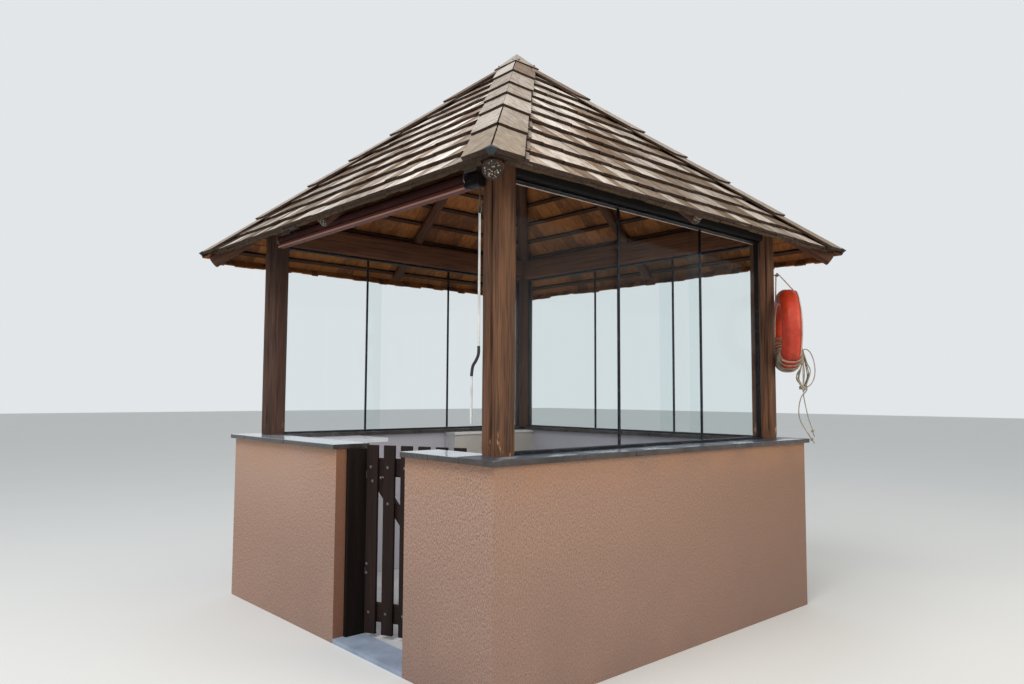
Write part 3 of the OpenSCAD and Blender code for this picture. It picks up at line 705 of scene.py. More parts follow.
@dataclass
class Stock:
    """Collects the points and faces of one piece, with the grain and tone that its finish reads."""

    points: list[Vector] = field(default_factory=list)
    grain: list[Vector] = field(default_factory=list)
    tones: list[Vector] = field(default_factory=list)
    faces: list[list[int]] = field(default_factory=list)
    kinds: list[float] = field(default_factory=list)
    turns: list[list[tuple[float, float]]] = field(default_factory=list)
    tone: Vector = field(default_factory=Vector)
    shift: float = 0.0

    def next_board(self, shift: float, chance: float = 0.0, age: float = 0.0, pale: float = 0.0) -> None:
        """Moves the grain on for another board and sets the board's tone."""
        self.shift += shift
        self.tone = Vector((chance, age, pale))

    def point(self, at: Vector, grain: Vector) -> int:
        """Adds a point and returns its number."""
        self.points.append(at)
        self.grain.append(grain + Vector((self.shift, 0, 0)))
        self.tones.append(self.tone.copy())
        return len(self.points) - 1

    def face(self, corners: list[int], kind: Surface, turns: list[tuple[float, float]] | None = None) -> None:
        """Adds a face of one kind; turns are its corners' places in the wound pattern."""
        self.faces.append(corners)
        self.kinds.append(kind.value)
        self.turns.append(turns or [(0.0, 0.0)] * len(corners))

    def slab(
        self,
        outline: Outline,
        high: Level,
        low: Level,
        place: Place,
        kinds: tuple[Surface, Surface, Surface] = (Surface.TOP, Surface.UNDER, Surface.EDGE),
    ) -> None:
        """Adds a board given by its outline.

        Args:
            outline: its corners (across, up) in order, anticlockwise from above.
            high: the height of its upper face, a number or a function of (across, up).
            low: the height of its lower face.
            place: turns (across, up, height) into a point of the shared frame.
            kinds: of its upper face, lower face and edges.
        """
        top, bottom = [], []
        for across, up in outline:
            for ring, level in ((top, high), (bottom, low)):
                height = level(across, up) if callable(level) else level
                ring.append(self.point(place(across, up, height), Vector((up, across, height))))
        self.face(top, kinds[0])
        self.face(bottom[::-1], kinds[1])
        for i in range(len(outline)):
            j = (i + 1) % len(outline)
            self.face([bottom[i], bottom[j], top[j], top[i]], kinds[2])

    def beam(
        self,
        low: Sequence[float],
        high: Sequence[float],
        along: int,
        carry: Callable[[Vector], Vector] = lambda at: at,
    ) -> None:
        """Adds a straight board between two opposite corners, with its grain along one axis, and carries it."""
        order = [along, *(axis for axis in range(3) if axis != along)]
        corners = []
        for i in range(8):
            at = Vector([(low, high)[i >> axis & 1][axis] for axis in range(3)])
            corners.append(self.point(carry(at), Vector([at[axis] for axis in order])))
        quads = ((0, 4, 6, 2), (1, 3, 7, 5), (0, 1, 5, 4), (2, 6, 7, 3), (0, 2, 3, 1), (4, 5, 7, 6))
        for k, quad in enumerate(quads):
            self.face([corners[c] for c in quad], Surface.END if k // 2 == along else Surface.TOP)

    def loft(
        self, rings: Sequence[Ring], ends: bool = True, closed: bool = False, lengths: list[float] | None = None
    ) -> None:
        """Adds a skin over rings of points, each ring anticlockwise seen from the next one.

        Args:
            rings: the rings, as many points each, a point with its grain.
            ends: closes both ends.
            closed: joins the last ring to the first.
            lengths: the length at each ring, for a wound pattern.
        """
        n = len(rings[0])
        ids = [[self.point(at, grain) for at, grain in ring] for ring in rings]
        for i in range(len(ids) if closed else len(ids) - 1):
            a, b = ids[i], ids[(i + 1) % len(ids)]
            u0, u1 = lengths[i : i + 2] if lengths else (0.0, 0.0)
            for k in range(n):
                m = (k + 1) % n
                turns = [(u0, k / n), (u0, (k + 1) / n), (u1, (k + 1) / n), (u1, k / n)]
                self.face([a[k], a[m], b[m], b[k]], Surface.TOP, turns)
        if ends and not closed:
            for end, order in ((0, -1), (-1, 1)):
                middle, heart = (sum(part, Vector()) / n for part in zip(*rings[end]))
                hub = self.point(middle, heart)
                for k in range(n):
                    self.face([*[ids[end][k], ids[end][(k + 1) % n]][::order], hub], Surface.END)

    def tube(self, path: Sequence[Vector], diameter: float, sides: int = 8, ends: bool = True) -> None:
        """Adds a round tube along a path, without twist, with its length kept for a wound pattern."""
        rings, lengths, total = [], [], 0.0
        ahead = (path[1] - path[0]).normalized()
        across = ahead.orthogonal().normalized()
        for i, at in enumerate(path):
            before, after = path[max(i - 1, 0)], path[min(i + 1, len(path) - 1)]
            turn = ahead.rotation_difference((after - before).normalized())
            ahead = (after - before).normalized()
            across = (turn @ across).normalized()
            side = ahead.cross(across)
            total += (at - before).length
            lengths.append(total)
            turns = [(math.cos(a), math.sin(a)) for a in (math.tau * k / sides for k in range(sides))]
            half = diameter / 2
            rings.append([(at + (across * c + side * s) * half, Vector((total, c * half, s * half))) for c, s in turns])
        self.loft(rings, ends, lengths=lengths)

    def piece(
        self,
        name: str,
        finish: str,
        slot: str,
        replaces: Sequence[str] = (),
        body: str = "kiosk",
        edges: float = 0.0,
        smooth: float = 35.0,
    ) -> bpy.types.Object:
        """Makes the mesh object, rides it on its body and hides the CAD nodes that it stands for.

        Args:
            name: the piece's name.
            finish: the name of its finish.
            slot: not used.
            replaces: CAD nodes that it stands for.
            body: the CAD body that it moves with.
            edges: width of its eased edges, or 0.
            smooth: edges sharper than this angle stay sharp, in degrees.

        Returns:
            The object.
        """
        mesh = bpy.data.meshes.new(name)
        mesh.from_pydata([tuple(p) for p in self.points], [], self.faces)
        for key, vectors in (("grain", self.grain), ("tone", self.tones)):
            kept = mesh.attributes.new(key, "FLOAT_VECTOR", "POINT")
            kept.data.foreach_set("vector", [c for v in vectors for c in v])
        mesh.attributes.new("surface", "FLOAT", "FACE").data.foreach_set("value", self.kinds)
        turns = mesh.uv_layers.new(name="turns")
        turns.data.foreach_set("uv", [c for face in self.turns for uv in face for c in uv])
        mesh.polygons.foreach_set("use_smooth", [True] * len(self.faces))
        mesh.update()
        mesh.set_sharp_from_angle(angle=math.radians(smooth))
        mesh.materials.append(FINISHES[finish])
        made = bpy.data.objects.new(name, mesh)
        bpy.context.scene.collection.objects.link(made)
        ease_edges(made, edges)
        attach(made, body)
        if replaces:
            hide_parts(*replaces)
        log.info("%s: %d faces", name, len(self.faces))
        return made


def ease_edges(piece: bpy.types.Object, width: float) -> None:
    """Eases a piece's sharp edges by a bevel of that width, if it has any."""
    if width:
        bevel = piece.modifiers.new("eased_edges", "BEVEL")
        bevel.width, bevel.segments = width, 2
        bevel.limit_method, bevel.angle_limit = "ANGLE", math.radians(32)


def dress_node(name: str, finish: str, edges: float = 0.0) -> None:
    """Gives a CAD node its finish, and eased edges where asked."""
    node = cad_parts[name]
    node.data.materials.clear()
    node.data.materials.append(FINISHES[finish])
    ease_edges(node, edges)
    log.info("%s: dressed", name)


def board_for(node: str, name: str, finish: str, slot: str, edges: float) -> None:
    """Makes an upright board of a CAD node's own size, in its place."""
    stock = Stock()
    stock.beam(*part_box(node), 2)
    stock.piece(name, finish, slot, [node], edges=edges)


def clipped(outline: Outline, keep: Callable[[float, float], float]) -> Outline:
    """The part of a convex outline where keep is positive; keep is linear."""
    out: Outline = []
    for i, here in enumerate(outline):
        then = outline[(i + 1) % len(outline)]
        a, b = keep(*here), keep(*then)
        if a >= 0:
            out.append(here)
        if a * b < 0:
            share = a / (a - b)
            out.append((here[0] + share * (then[0] - here[0]), here[1] + share * (then[1] - here[1])))
    return out


def area_of(outline: Outline) -> float:
    """Area of an outline, positive when it runs anticlockwise."""
    pairs = zip(outline, outline[1:] + outline[:1])
    return sum(a[0] * b[1] - b[0] * a[1] for a, b in pairs) / 2


def anticlockwise(outline: Outline) -> Outline:
    """The outline, run anticlockwise."""
    return outline if area_of(outline) >= 0 else outline[::-1]


def rectangle(t0: float, t1: float, s0: float, s1: float) -> Outline:
    """The outline of a rectangle."""
    return [(t0, s0), (t1, s0), (t1, s1), (t0, s1)]


def strewn(rng: random.Random, start: float, end: float, widths: Triple) -> Iterator[tuple[float, float]]:
    """Starts and widths of boards laid side by side, their widths drawn from (least, most, usual)."""
    while start < end:
        width = rng.triangular(*widths)
        yield start, width
        start += width


def rounded_profile(half_w: float, half_h: float, radius: float) -> Outline:
    """A rectangle with rounded corners and a point in each side's middle."""
    points = []
    for k, (cx, cy, nx, ny) in enumerate(((1, 1, 0, 1), (-1, 1, -1, 0), (-1, -1, 0, -1), (1, -1, 1, 0))):
        x, y = cx * (half_w - radius), cy * (half_h - radius)
        for a in (math.radians(90 * k + 30 * m) for m in range(4)):
            points.append((x + radius * math.cos(a), y + radius * math.sin(a)))
        points.append((nx * half_w, ny * half_h))
    return points


def add_log(
    stock: Stock,
    start: Vector,
    end: Vector,
    radius: float,
    seed: float,
    checks: Sequence[Triple] = (),
    rings: int = 30,
    sides: int = 32,
) -> None:
    """Adds an uneven round log.

    Args:
        stock: what it is added to.
        start: the middle of its first end.
        end: the middle of its other end.
        radius: its largest radius.
        seed: sets its bumps apart from another log's.
        checks: (angle in degrees, depth, half width) of long cracks.
        rings: stretches between rings of points along it.
        sides: points round it.
    """
    axis = end - start
    ahead = axis.normalized()
    side = Vector((0, 0, 1)).cross(ahead)
    side = Vector((1, 0, 0)) if side.length < 1e-6 else side.normalized()
    other = ahead.cross(side)
    skin = []
    for i in range(rings + 1):
        share = i / rings
        along = share * axis.length
        inset = 0.03 if i in (0, rings) else 0.0
        ring = []
        for a in (math.tau * k / sides for k in range(sides)):
            way = Vector((math.cos(a) * 0.9, math.sin(a) * 0.9, along * 1.3 + seed))
            fine = Vector((math.cos(a) * 5, math.sin(a) * 5, along * 3 + seed))
            r = radius * (0.985 + 0.028 * noise.noise(way) + 0.012 * noise.noise(fine) - inset - 0.012)
            for angle, depth, wide in checks:
                wander = 0.10 * noise.noise(Vector((seed, angle, along * 1.5)))
                off = (a - math.radians(angle) - wander + math.pi) % math.tau - math.pi
                r -= depth * math.exp(-((off * radius / wide) ** 2)) * eased(share, 0, 0.05)
            at = start + axis * share + (side * math.cos(a) + other * math.sin(a)) * r
            ring.append((at, Vector((along, math.cos(a) * r, math.sin(a) * r))))
        skin.append(ring)
    stock.loft(skin)


def smoothed(route: Sequence[Vector], steps: int) -> list[Vector]:
    """A smooth curve through the points of a route, with steps points on each stretch."""
    out: list[Vector] = []
    for i in range(len(route) - 1):
        a, b, c = route[max(i - 1, 0)], route[i], route[i + 1]
        d = route[min(i + 2, len(route) - 1)]
        for k in range(steps):
            t = k / steps
            at = b + (c - a) * (t / 2) + (2 * a - 5 * b + 4 * c - d) * (t * t / 2)
            out.append(at + (3 * b - a - 3 * c + d) * (t**3 / 2))
    return [*out, route[-1]]


# ---------------------------------------------------------------- camera, light and floor


@dataclass
class Studio:
    """The camera at the photograph's angle, the pale floor and the soft lamps."""

    eye: Triple = (4.2205, -3.8520, 1.4968)
    yaw: float = math.radians(47.861)
    tilt: float = math.radians(3.9843)
    roll: float = math.radians(0.2868)
    focal_px: float = 760.52
    frame_px: float = 1024.0
    sensor: float = 36.0
    floor_half: float = 60.0
    sky: Colour = (226, 230, 233)
    light: tuple[float, float, float, float] = (0.93, 0.97, 1.0, 1)
    strength: float = 0.62

    def link(self, name: str, data: bpy.types.ID) -> bpy.types.Object:
        """Makes an object in the scene."""
        made = bpy.data.objects.new(name, data)
        bpy.context.scene.collection.objects.link(made)
        return made

    def set_camera(self) -> None:
        """Makes the scene's camera."""
        yaw, tilt, roll = self.yaw, self.tilt, self.roll
        ahead = Vector((-math.sin(yaw) * math.cos(tilt), math.cos(yaw) * math.cos(tilt), math.sin(tilt)))
        right = Vector((math.cos(yaw), math.sin(yaw), 0))
        up = right.cross(ahead)
        across = right * math.cos(roll) + up * math.sin(roll)
        upward = up * math.cos(roll) - right * math.sin(roll)
        data = bpy.data.cameras.new("photo_camera")
        data.sensor_width, data.lens = self.sensor, self.focal_px / self.frame_px * self.sensor
        data.clip_start, data.clip_end = 0.05, 200
        camera = self.link("photo_camera", data)
        camera.matrix_world = Matrix((across, upward, -ahead)).transposed().to_4x4()
        camera.location = self.eye
        bpy.context.scene.camera = camera

    def set_floor(self) -> None:
        """Makes the plain pale floor."""
        mesh = bpy.data.meshes.new("studio_floor")
        corners = [(x * self.floor_half, y * self.floor_half, 0) for x, y in ((-1, -1), (1, -1), (1, 1), (-1, 1))]
        mesh.from_pydata(corners, [], [(0, 1, 2, 3)])
        r = Recipe("studio_floor")
        cloud = r.noise(r.place(), 0.6, 2)
        mesh.materials.append(r.finish(r.over((226, 226, 224), (cloud, (222, 222, 220))), 0.9))
        floor = self.link("studio_floor", mesh)
        floor.location.z = -0.0005

    def set_sky(self) -> None:
        """Makes the even sky, which the camera and mirrors see in another tone than it lights with."""
        world = bpy.data.worlds.new("studio_sky")
        bpy.context.scene.world = world
        world.use_nodes = True
        w = Wiring(world.node_tree)
        ray = w.node("ShaderNodeLightPath")
        camera, glossy, through = (
            Signal(w, ray.outputs[f"Is {kind} Ray"]) for kind in ("Camera", "Glossy", "Transmission")
        )
        lit = w.signal("ShaderNodeBackground", sockets={"Color": self.light, "Strength": self.strength})
        seen = w.signal("ShaderNodeBackground", sockets={"Color": paint(*self.sky)})
        sockets = {0: camera.larger(glossy).larger(through), 1: lit, 2: seen}
        w.node("ShaderNodeOutputWorld", sockets={0: w.signal("ShaderNodeMixShader", sockets=sockets)})

    def set_lamps(self) -> None:
        """Makes three large soft lamps: over the roof, at the right side and in the room."""
        for name, place, aim, size, power, colour in (
            ("roof_light", (2.0, -6.0, 9.5), (0, 0, 2.5), 6.0, 620, (1.0, 1.0, 1.0)),
            ("side_light", (9.0, 1.0, 5.0), (0, 0, 1.6), 5.0, 240, (1.0, 0.88, 0.68)),
            ("room_light", (0, 0, 2.5), (0, 0, 0), 1.8, 17, (1.0, 1.0, 1.0)),
        ):
            data = bpy.data.lights.new(name, "AREA")
            data.shape, data.size, data.energy, data.color = "DISK", size, power, colour
            lamp = self.link(name, data)
            lamp.location = place
            lamp.rotation_euler = (Vector(aim) - Vector(place)).to_track_quat("-Z", "Y").to_euler()
            if name == "room_light":
                lamp.visible_camera = lamp.visible_glossy = False

    def build(self) -> None:
        """Sets up the whole studio."""
        self.set_camera()
        self.set_floor()
        self.set_sky()
        self.set_lamps()


# ---------------------------------------------------------------- ropes and the ring


@dataclass
class RescueRing:
    """The ring on its hook, with the sling, grab lines, wound line, hank and hanging ends."""

    turn: float = math.radians(37)
    middle_z: float = 1.985
    out: float = 0.170
    circle: float = 0.2425
    corner: float = 0.0575
    bulge: float = 0.0125
    gap: float = 0.0003
    rope: float = 0.0075
    line: float = 0.008
    hank_x: float = 0.2756
    hank_low: float = 1.520
    hank_high: float = 1.850

    def at(self, out: float, along: float, height: float) -> Vector:
        """A point of the ring's own frame: out from the post, along the ring's plane, and height."""
        c, s = math.cos(self.turn), math.sin(self.turn)
        return Vector((PLAN.post_at + out * c - along * s, PLAN.post_at + out * s + along * c, height))

    def around(self, angle: float, radial: float, axial: float) -> Vector:
        """A point near the ring's body.

        Args:
            angle: from the ring's lowest point, towards the back, in radians.
            radial: distance out from the circle through the body's middle.
            axial: distance from the ring's middle plane, away from the post.

        Returns:
            The point in the shared frame.
        """
        reach = self.circle + radial
        return self.at(self.out + axial, reach * math.sin(angle), self.middle_z - reach * math.cos(angle))

    def section(self, share: float, clear: float) -> tuple[float, float]:
        """A point (radial, axial) that clear of the body's section, for a share of the way round it."""
        radius = self.corner + clear
        angle = share * math.tau
        axial = math.copysign(self.bulge, math.sin(angle)) if abs(math.sin(angle)) > 1e-9 else 0.0
        blend = min(1.0, abs(math.sin(angle)) / 0.2)
        return radius * math.cos(angle), radius * math.sin(angle) + axial * blend

    def shell(self, sides: int = 40, steps: int = 112) -> None:
        """The ring's moulded body, with its joint line and shallow dents."""
        rings = []
        for i in range(steps):
            angle = math.tau * i / steps
            ring = []
            for k in range(sides):
                radial, axial = self.section(k / sides, -0.0006)
                if k in (0, sides // 2):
                    radial *= 0.975
                dent = noise.noise(Vector((math.cos(angle) * 2, math.sin(angle) * 2, k / sides * 3))) * 0.0012
                radial -= math.copysign(abs(dent), radial)
                ring.append((self.around(-angle, radial, axial), Vector((angle * self.circle, radial, axial))))
            rings.append(ring)
        stock = Stock()
        stock.loft(rings, closed=True)
        stock.piece("life_ring_shell", "ring_shell", "ring_shell", ["life_ring"], smooth=60)

    def cord(
        self,
        name: str,
        path: list[Vector],
        far_end: str,
        replaces: Sequence[str] = (),
        finish: str = "throw_rope",
        diameter: float | None = None,
    ) -> None:
        """Args:
            name: the rope's name.
            path: the middle of the rope, from its exit on.
            far_end: what is on its far end; a knot is made there.
            replaces: CAD nodes that it stands for.
            finish: the name of its finish.
            diameter: its real diameter, or None for the thrown line's.
        """
        diameter = diameter or self.rope
        stock, knots = Stock(), []
        stock.tube(path, diameter)
        made = stock.piece(name, finish, "rope", replaces, smooth=80)
        if far_end == "knot":
            knots.append(self.stopper(name + "_knot", path[-5], (path[-1] - path[-6]).normalized(), diameter))
        tuple(path[0])
        round(sum((b - a).length for a, b in zip(path, path[1:])), 3)
        [tuple(p) for p in path]
        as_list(knots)

    def stopper(self, name: str, place: Vector, ahead: Vector, diameter: float) -> bpy.types.Object:
        """A stopper knot pulled tight round a rope."""
        side = ahead.orthogonal().normalized()
        other = ahead.cross(side)
        path = []
        for i in range(73):
            t = math.tau * i / 72
            wide = diameter * (1.0 + 0.28 * math.cos(3 * t))
            at = place + side * (wide * math.cos(2 * t)) + other * (wide * math.sin(2 * t))
            path.append(at + ahead * (diameter * 0.75 * math.sin(3 * t)))
        stock = Stock()
        stock.tube(path, diameter * 0.92, ends=False)
        return stock.piece(name, "throw_rope", "rope", smooth=80)

    def winding(self) -> None:
        """The throw line, wound loosely round the ring's foot one way and back the other."""
        path = []
        rng = random.Random(5)
        near, far, per_turn, layer_gap, rise = math.radians(-44), math.radians(77), 26, 0.0062, 0.06
        for layer, turns, a0, a1 in ((0, 13, near, far), (1, 12, far, near + 0.06)):
            steps = turns * per_turn
            sway = [rng.uniform(-0.075, 0.075) for _ in range(turns + 2)]
            for i in range(layer, steps + 1):
                share = i / steps
                k, part = divmod(share * turns, 1.0)
                wander = sway[int(k)] * (1 - part) + sway[int(k) + 1] * part
                angle = a0 + (a1 - a0) * share + wander * math.sin(share * math.pi)
                clear = self.gap + self.rope / 2 + layer_gap * layer
                if layer and share < rise:
                    clear -= layer_gap * (1 - share / rise)
                path.append(self.around(angle, *self.section(part + 0.25, clear)))
        self.cord("throw_line", path, "object", ["rope_winding"])

    def hank_loop(self, rng: random.Random) -> list[Triple]:
        """One loose upright loop of the hank: up one side, over the top, down the other side and round the knot."""
        high = self.hank_high - self.rope / 2 - rng.uniform(0.0, 0.018)
        low = self.hank_low + self.rope / 2 + rng.uniform(-0.004, 0.030)
        back, front = rng.uniform(-0.054, -0.006), rng.uniform(0.010, 0.058)
        left, right = rng.uniform(-0.026, -0.006), rng.uniform(0.006, 0.026)
        return [
            (-0.006, left, low + 0.016),
            (back * 0.5, left, 1.585),
            (back, left, 1.640 + rng.uniform(-0.01, 0.01)),
            (max(back, -0.012), left, 1.720),
            (-0.008, left, high - 0.030),
            (0.000, (left + right) / 2, high),
            (0.010, right, high - 0.030),
            (front * 0.6, right, 1.740),
            (front, right, 1.660 + rng.uniform(-0.02, 0.02)),
            (front * 0.5, right, 1.590),
            (0.008, right, low + 0.016),
            (0.000, 0.000, low),
        ]

    def beside_hank(self, route: Sequence[Triple], low: float = 0.0) -> list[Vector]:
        """The points of a route given from the hank's middle line, above a height."""
        return [self.at(self.hank_x + x, y, low + z) for x, y, z in route]

    def hank(self) -> None:
        """The spare line in a loose upright hank with its tie, and the end that hangs from it."""
        rng = random.Random(8)
        route = [(0.0, -0.010, self.hank_high - 0.012)]
        for _ in range(5):
            route += self.hank_loop(rng)
        path = smoothed(self.beside_hank(route), 5)
        wraps, per, tie_z = 3, 16, 1.572
        joined = [path[-1], self.at(self.hank_x + 0.022, 0.010, tie_z - 0.020)]
        ties = []
        for i in range(wraps * per + 1):
            a = math.tau * i / per
            ties.append((0.026 * math.cos(a), 0.030 * math.sin(a), tie_z - i / per * self.rope * 1.1))
        ties = self.beside_hank(ties)
        path += smoothed([*joined, ties[0]], 4)[1:] + ties[1:]
        tail = [(0.022, -0.004, 0.020), (0.010, -0.012, 0.006), *self.tails()[0][1:]]
        path += smoothed([path[-1], *self.beside_hank(tail, self.hank_low)], 6)[1:]
        self.cord("hank_line", path, "knot", ["rope_hank", "rope_tails"])

    @staticmethod
    def tails() -> tuple[list[Triple], ...]:
        """The routes of the two hanging ends and the loose loop, from the middle of the hank's foot."""
        first = [
            (0, -9, -0.3), (-14, -10, -24), (-32, -12, -84), (-36, -13, -155),
            (-20, -14, -215), (6, -15, -262), (38, -16, -315), (66, -18, -362),
        ]  # fmt: skip
        second = [(0, 9, -0.3), (4, 10, -24), (14, 12, -84), (34, 14, -180), (56, 15, -250), (73, 16, -318)]
        loop = [
            (6, 2, 316), (26, 2, 322), (52, 0, 300), (72, 0, 254), (83, 0, 196),
            (82, 0, 136), (68, 0, 88), (44, 0, 56), (14, 0, 38),
        ]  # fmt: skip
        return tuple([tuple(v / 1000 for v in p) for p in route] for route in (first, second, loop))

    def loose_ends(self) -> None:
        """The second hanging end and the loop that stands out from the hank."""
        _, second, loop = self.tails()
        for name, route, far_end in (("second_end", second, "knot"), ("loose_loop", loop, "object")):
            self.cord(name, smoothed(self.beside_hank(route, self.hank_low), 6), far_end)

    def sling(self) -> None:
        """The rope loop that carries the ring from its hook, tied above the ring."""
        rope, hook_radius = 0.010, 0.006
        clear = self.corner + self.gap + rope / 2
        hook_clear = hook_radius + self.gap + rope / 2
        top = self.middle_z + self.circle
        hook = (0.112, 2.390)
        outer, inner = (self.out + self.bulge, top), (self.out - self.bulge, top)

        def lean(dx: float, dz: float) -> float:
            """Direction in which a line that touches both arcs leaves them."""
            return math.atan2(dz, dx) - math.acos((clear - hook_clear) / math.hypot(dx, dz))

        out_lean = lean(hook[0] - outer[0], hook[1] - outer[1])
        in_lean = math.pi - lean(inner[0] - hook[0], hook[1] - inner[1])
        path: list[Vector] = []
        for (cx, cz), radius, a0, a1, n in (
            (hook, hook_clear, (out_lean + in_lean) / 2, in_lean, 5),
            (inner, clear, in_lean, 1.5 * math.pi, 14),
            (outer, clear, 1.5 * math.pi, math.tau + out_lean, 16),
            (hook, hook_clear, out_lean, (out_lean + in_lean) / 2 - 0.15, 5),
        ):
            for k in range(n + 1):
                a = a0 + (a1 - a0) * k / n
                path.append(self.at(cx + radius * math.cos(a), 0.0, cz + radius * math.sin(a)))
        filled: list[Vector] = [path[0]]
        for a, b in zip(path, path[1:]):
            parts = max(1, round((b - a).length / 0.02))
            filled += [a + (b - a) * (k / parts) for k in range(1, parts + 1) if (b - a).length > 1e-5]
        self.cord("ring_sling", filled, "object", ["ring_lines"], "grab_rope", rope)

    def grab_lines(self) -> None:
        """The grab lines along the ring's outer and inner edges, between their eyes."""
        reach = self.corner + self.gap + self.line / 2
        free = math.asin((0.005 + self.gap) / (self.circle - reach))
        for edge, sign in (("outer", 1), ("inner", -1)):
            for part, a0, a1 in (
                ("far", math.radians(79.2), math.pi - free),
                ("near", math.pi + free, math.tau - math.radians(46.2)),
            ):
                radial = sign * reach * math.cos(math.pi / 4)
                axial = sign * (self.bulge + reach * math.sin(math.pi / 4))
                path = [self.around(a0 + (a1 - a0) * k / 32, radial, axial) for k in range(33)]
                self.cord(f"grab_line_{edge}_{part}", path, "object", (), "grab_rope", self.line)

    def build(self) -> None:
        """Makes the ring and all its ropes."""
        self.winding()
        self.hank()
        self.loose_ends()
        self.sling()
        self.grab_lines()
        self.shell()
        dress_node("ring_hook", "steel")


# ---------------------------------------------------------------- roof


@dataclass(frozen=True)
class LogSet:
    """Four roof logs of one kind.

    Attributes:
        size: their diameter in the CAD source.
        tail, head: how far from the roof's middle their ends lie, along x and y.
        spread: length of a log's plan for each metre of that.
        angle: the first log's direction in degrees.
        wider, sag: how much thicker in radius and lower than their solids they are drawn.
        tone: the step in tone from log to log.
        seed: sets their bumps apart.
    """

    name: str
    size: float
    tail: float
    head: float
    spread: float
    angle: float
    wider: float
    sag: float
    tone: float
    seed: float
    checks: tuple[Triple, ...] = ()
    rings: int = 30
    sides: int = 32


HIP_CHECKS = ((200, 0.006, 0.003),)
ROOF_LOGS = (
    LogSet("hip_log", PLAN.hip_log, PLAN.hip_tail, 0.12, math.sqrt(2), 45, 0.006, 0.006, 0.2, 3.0, HIP_CHECKS),
    LogSet("middle_log", PLAN.middle_log, PLAN.middle_tail, 0.1, 1.0, 0, 0.008, 0.009, 0.0, 13.0, (), 22, 24),
)


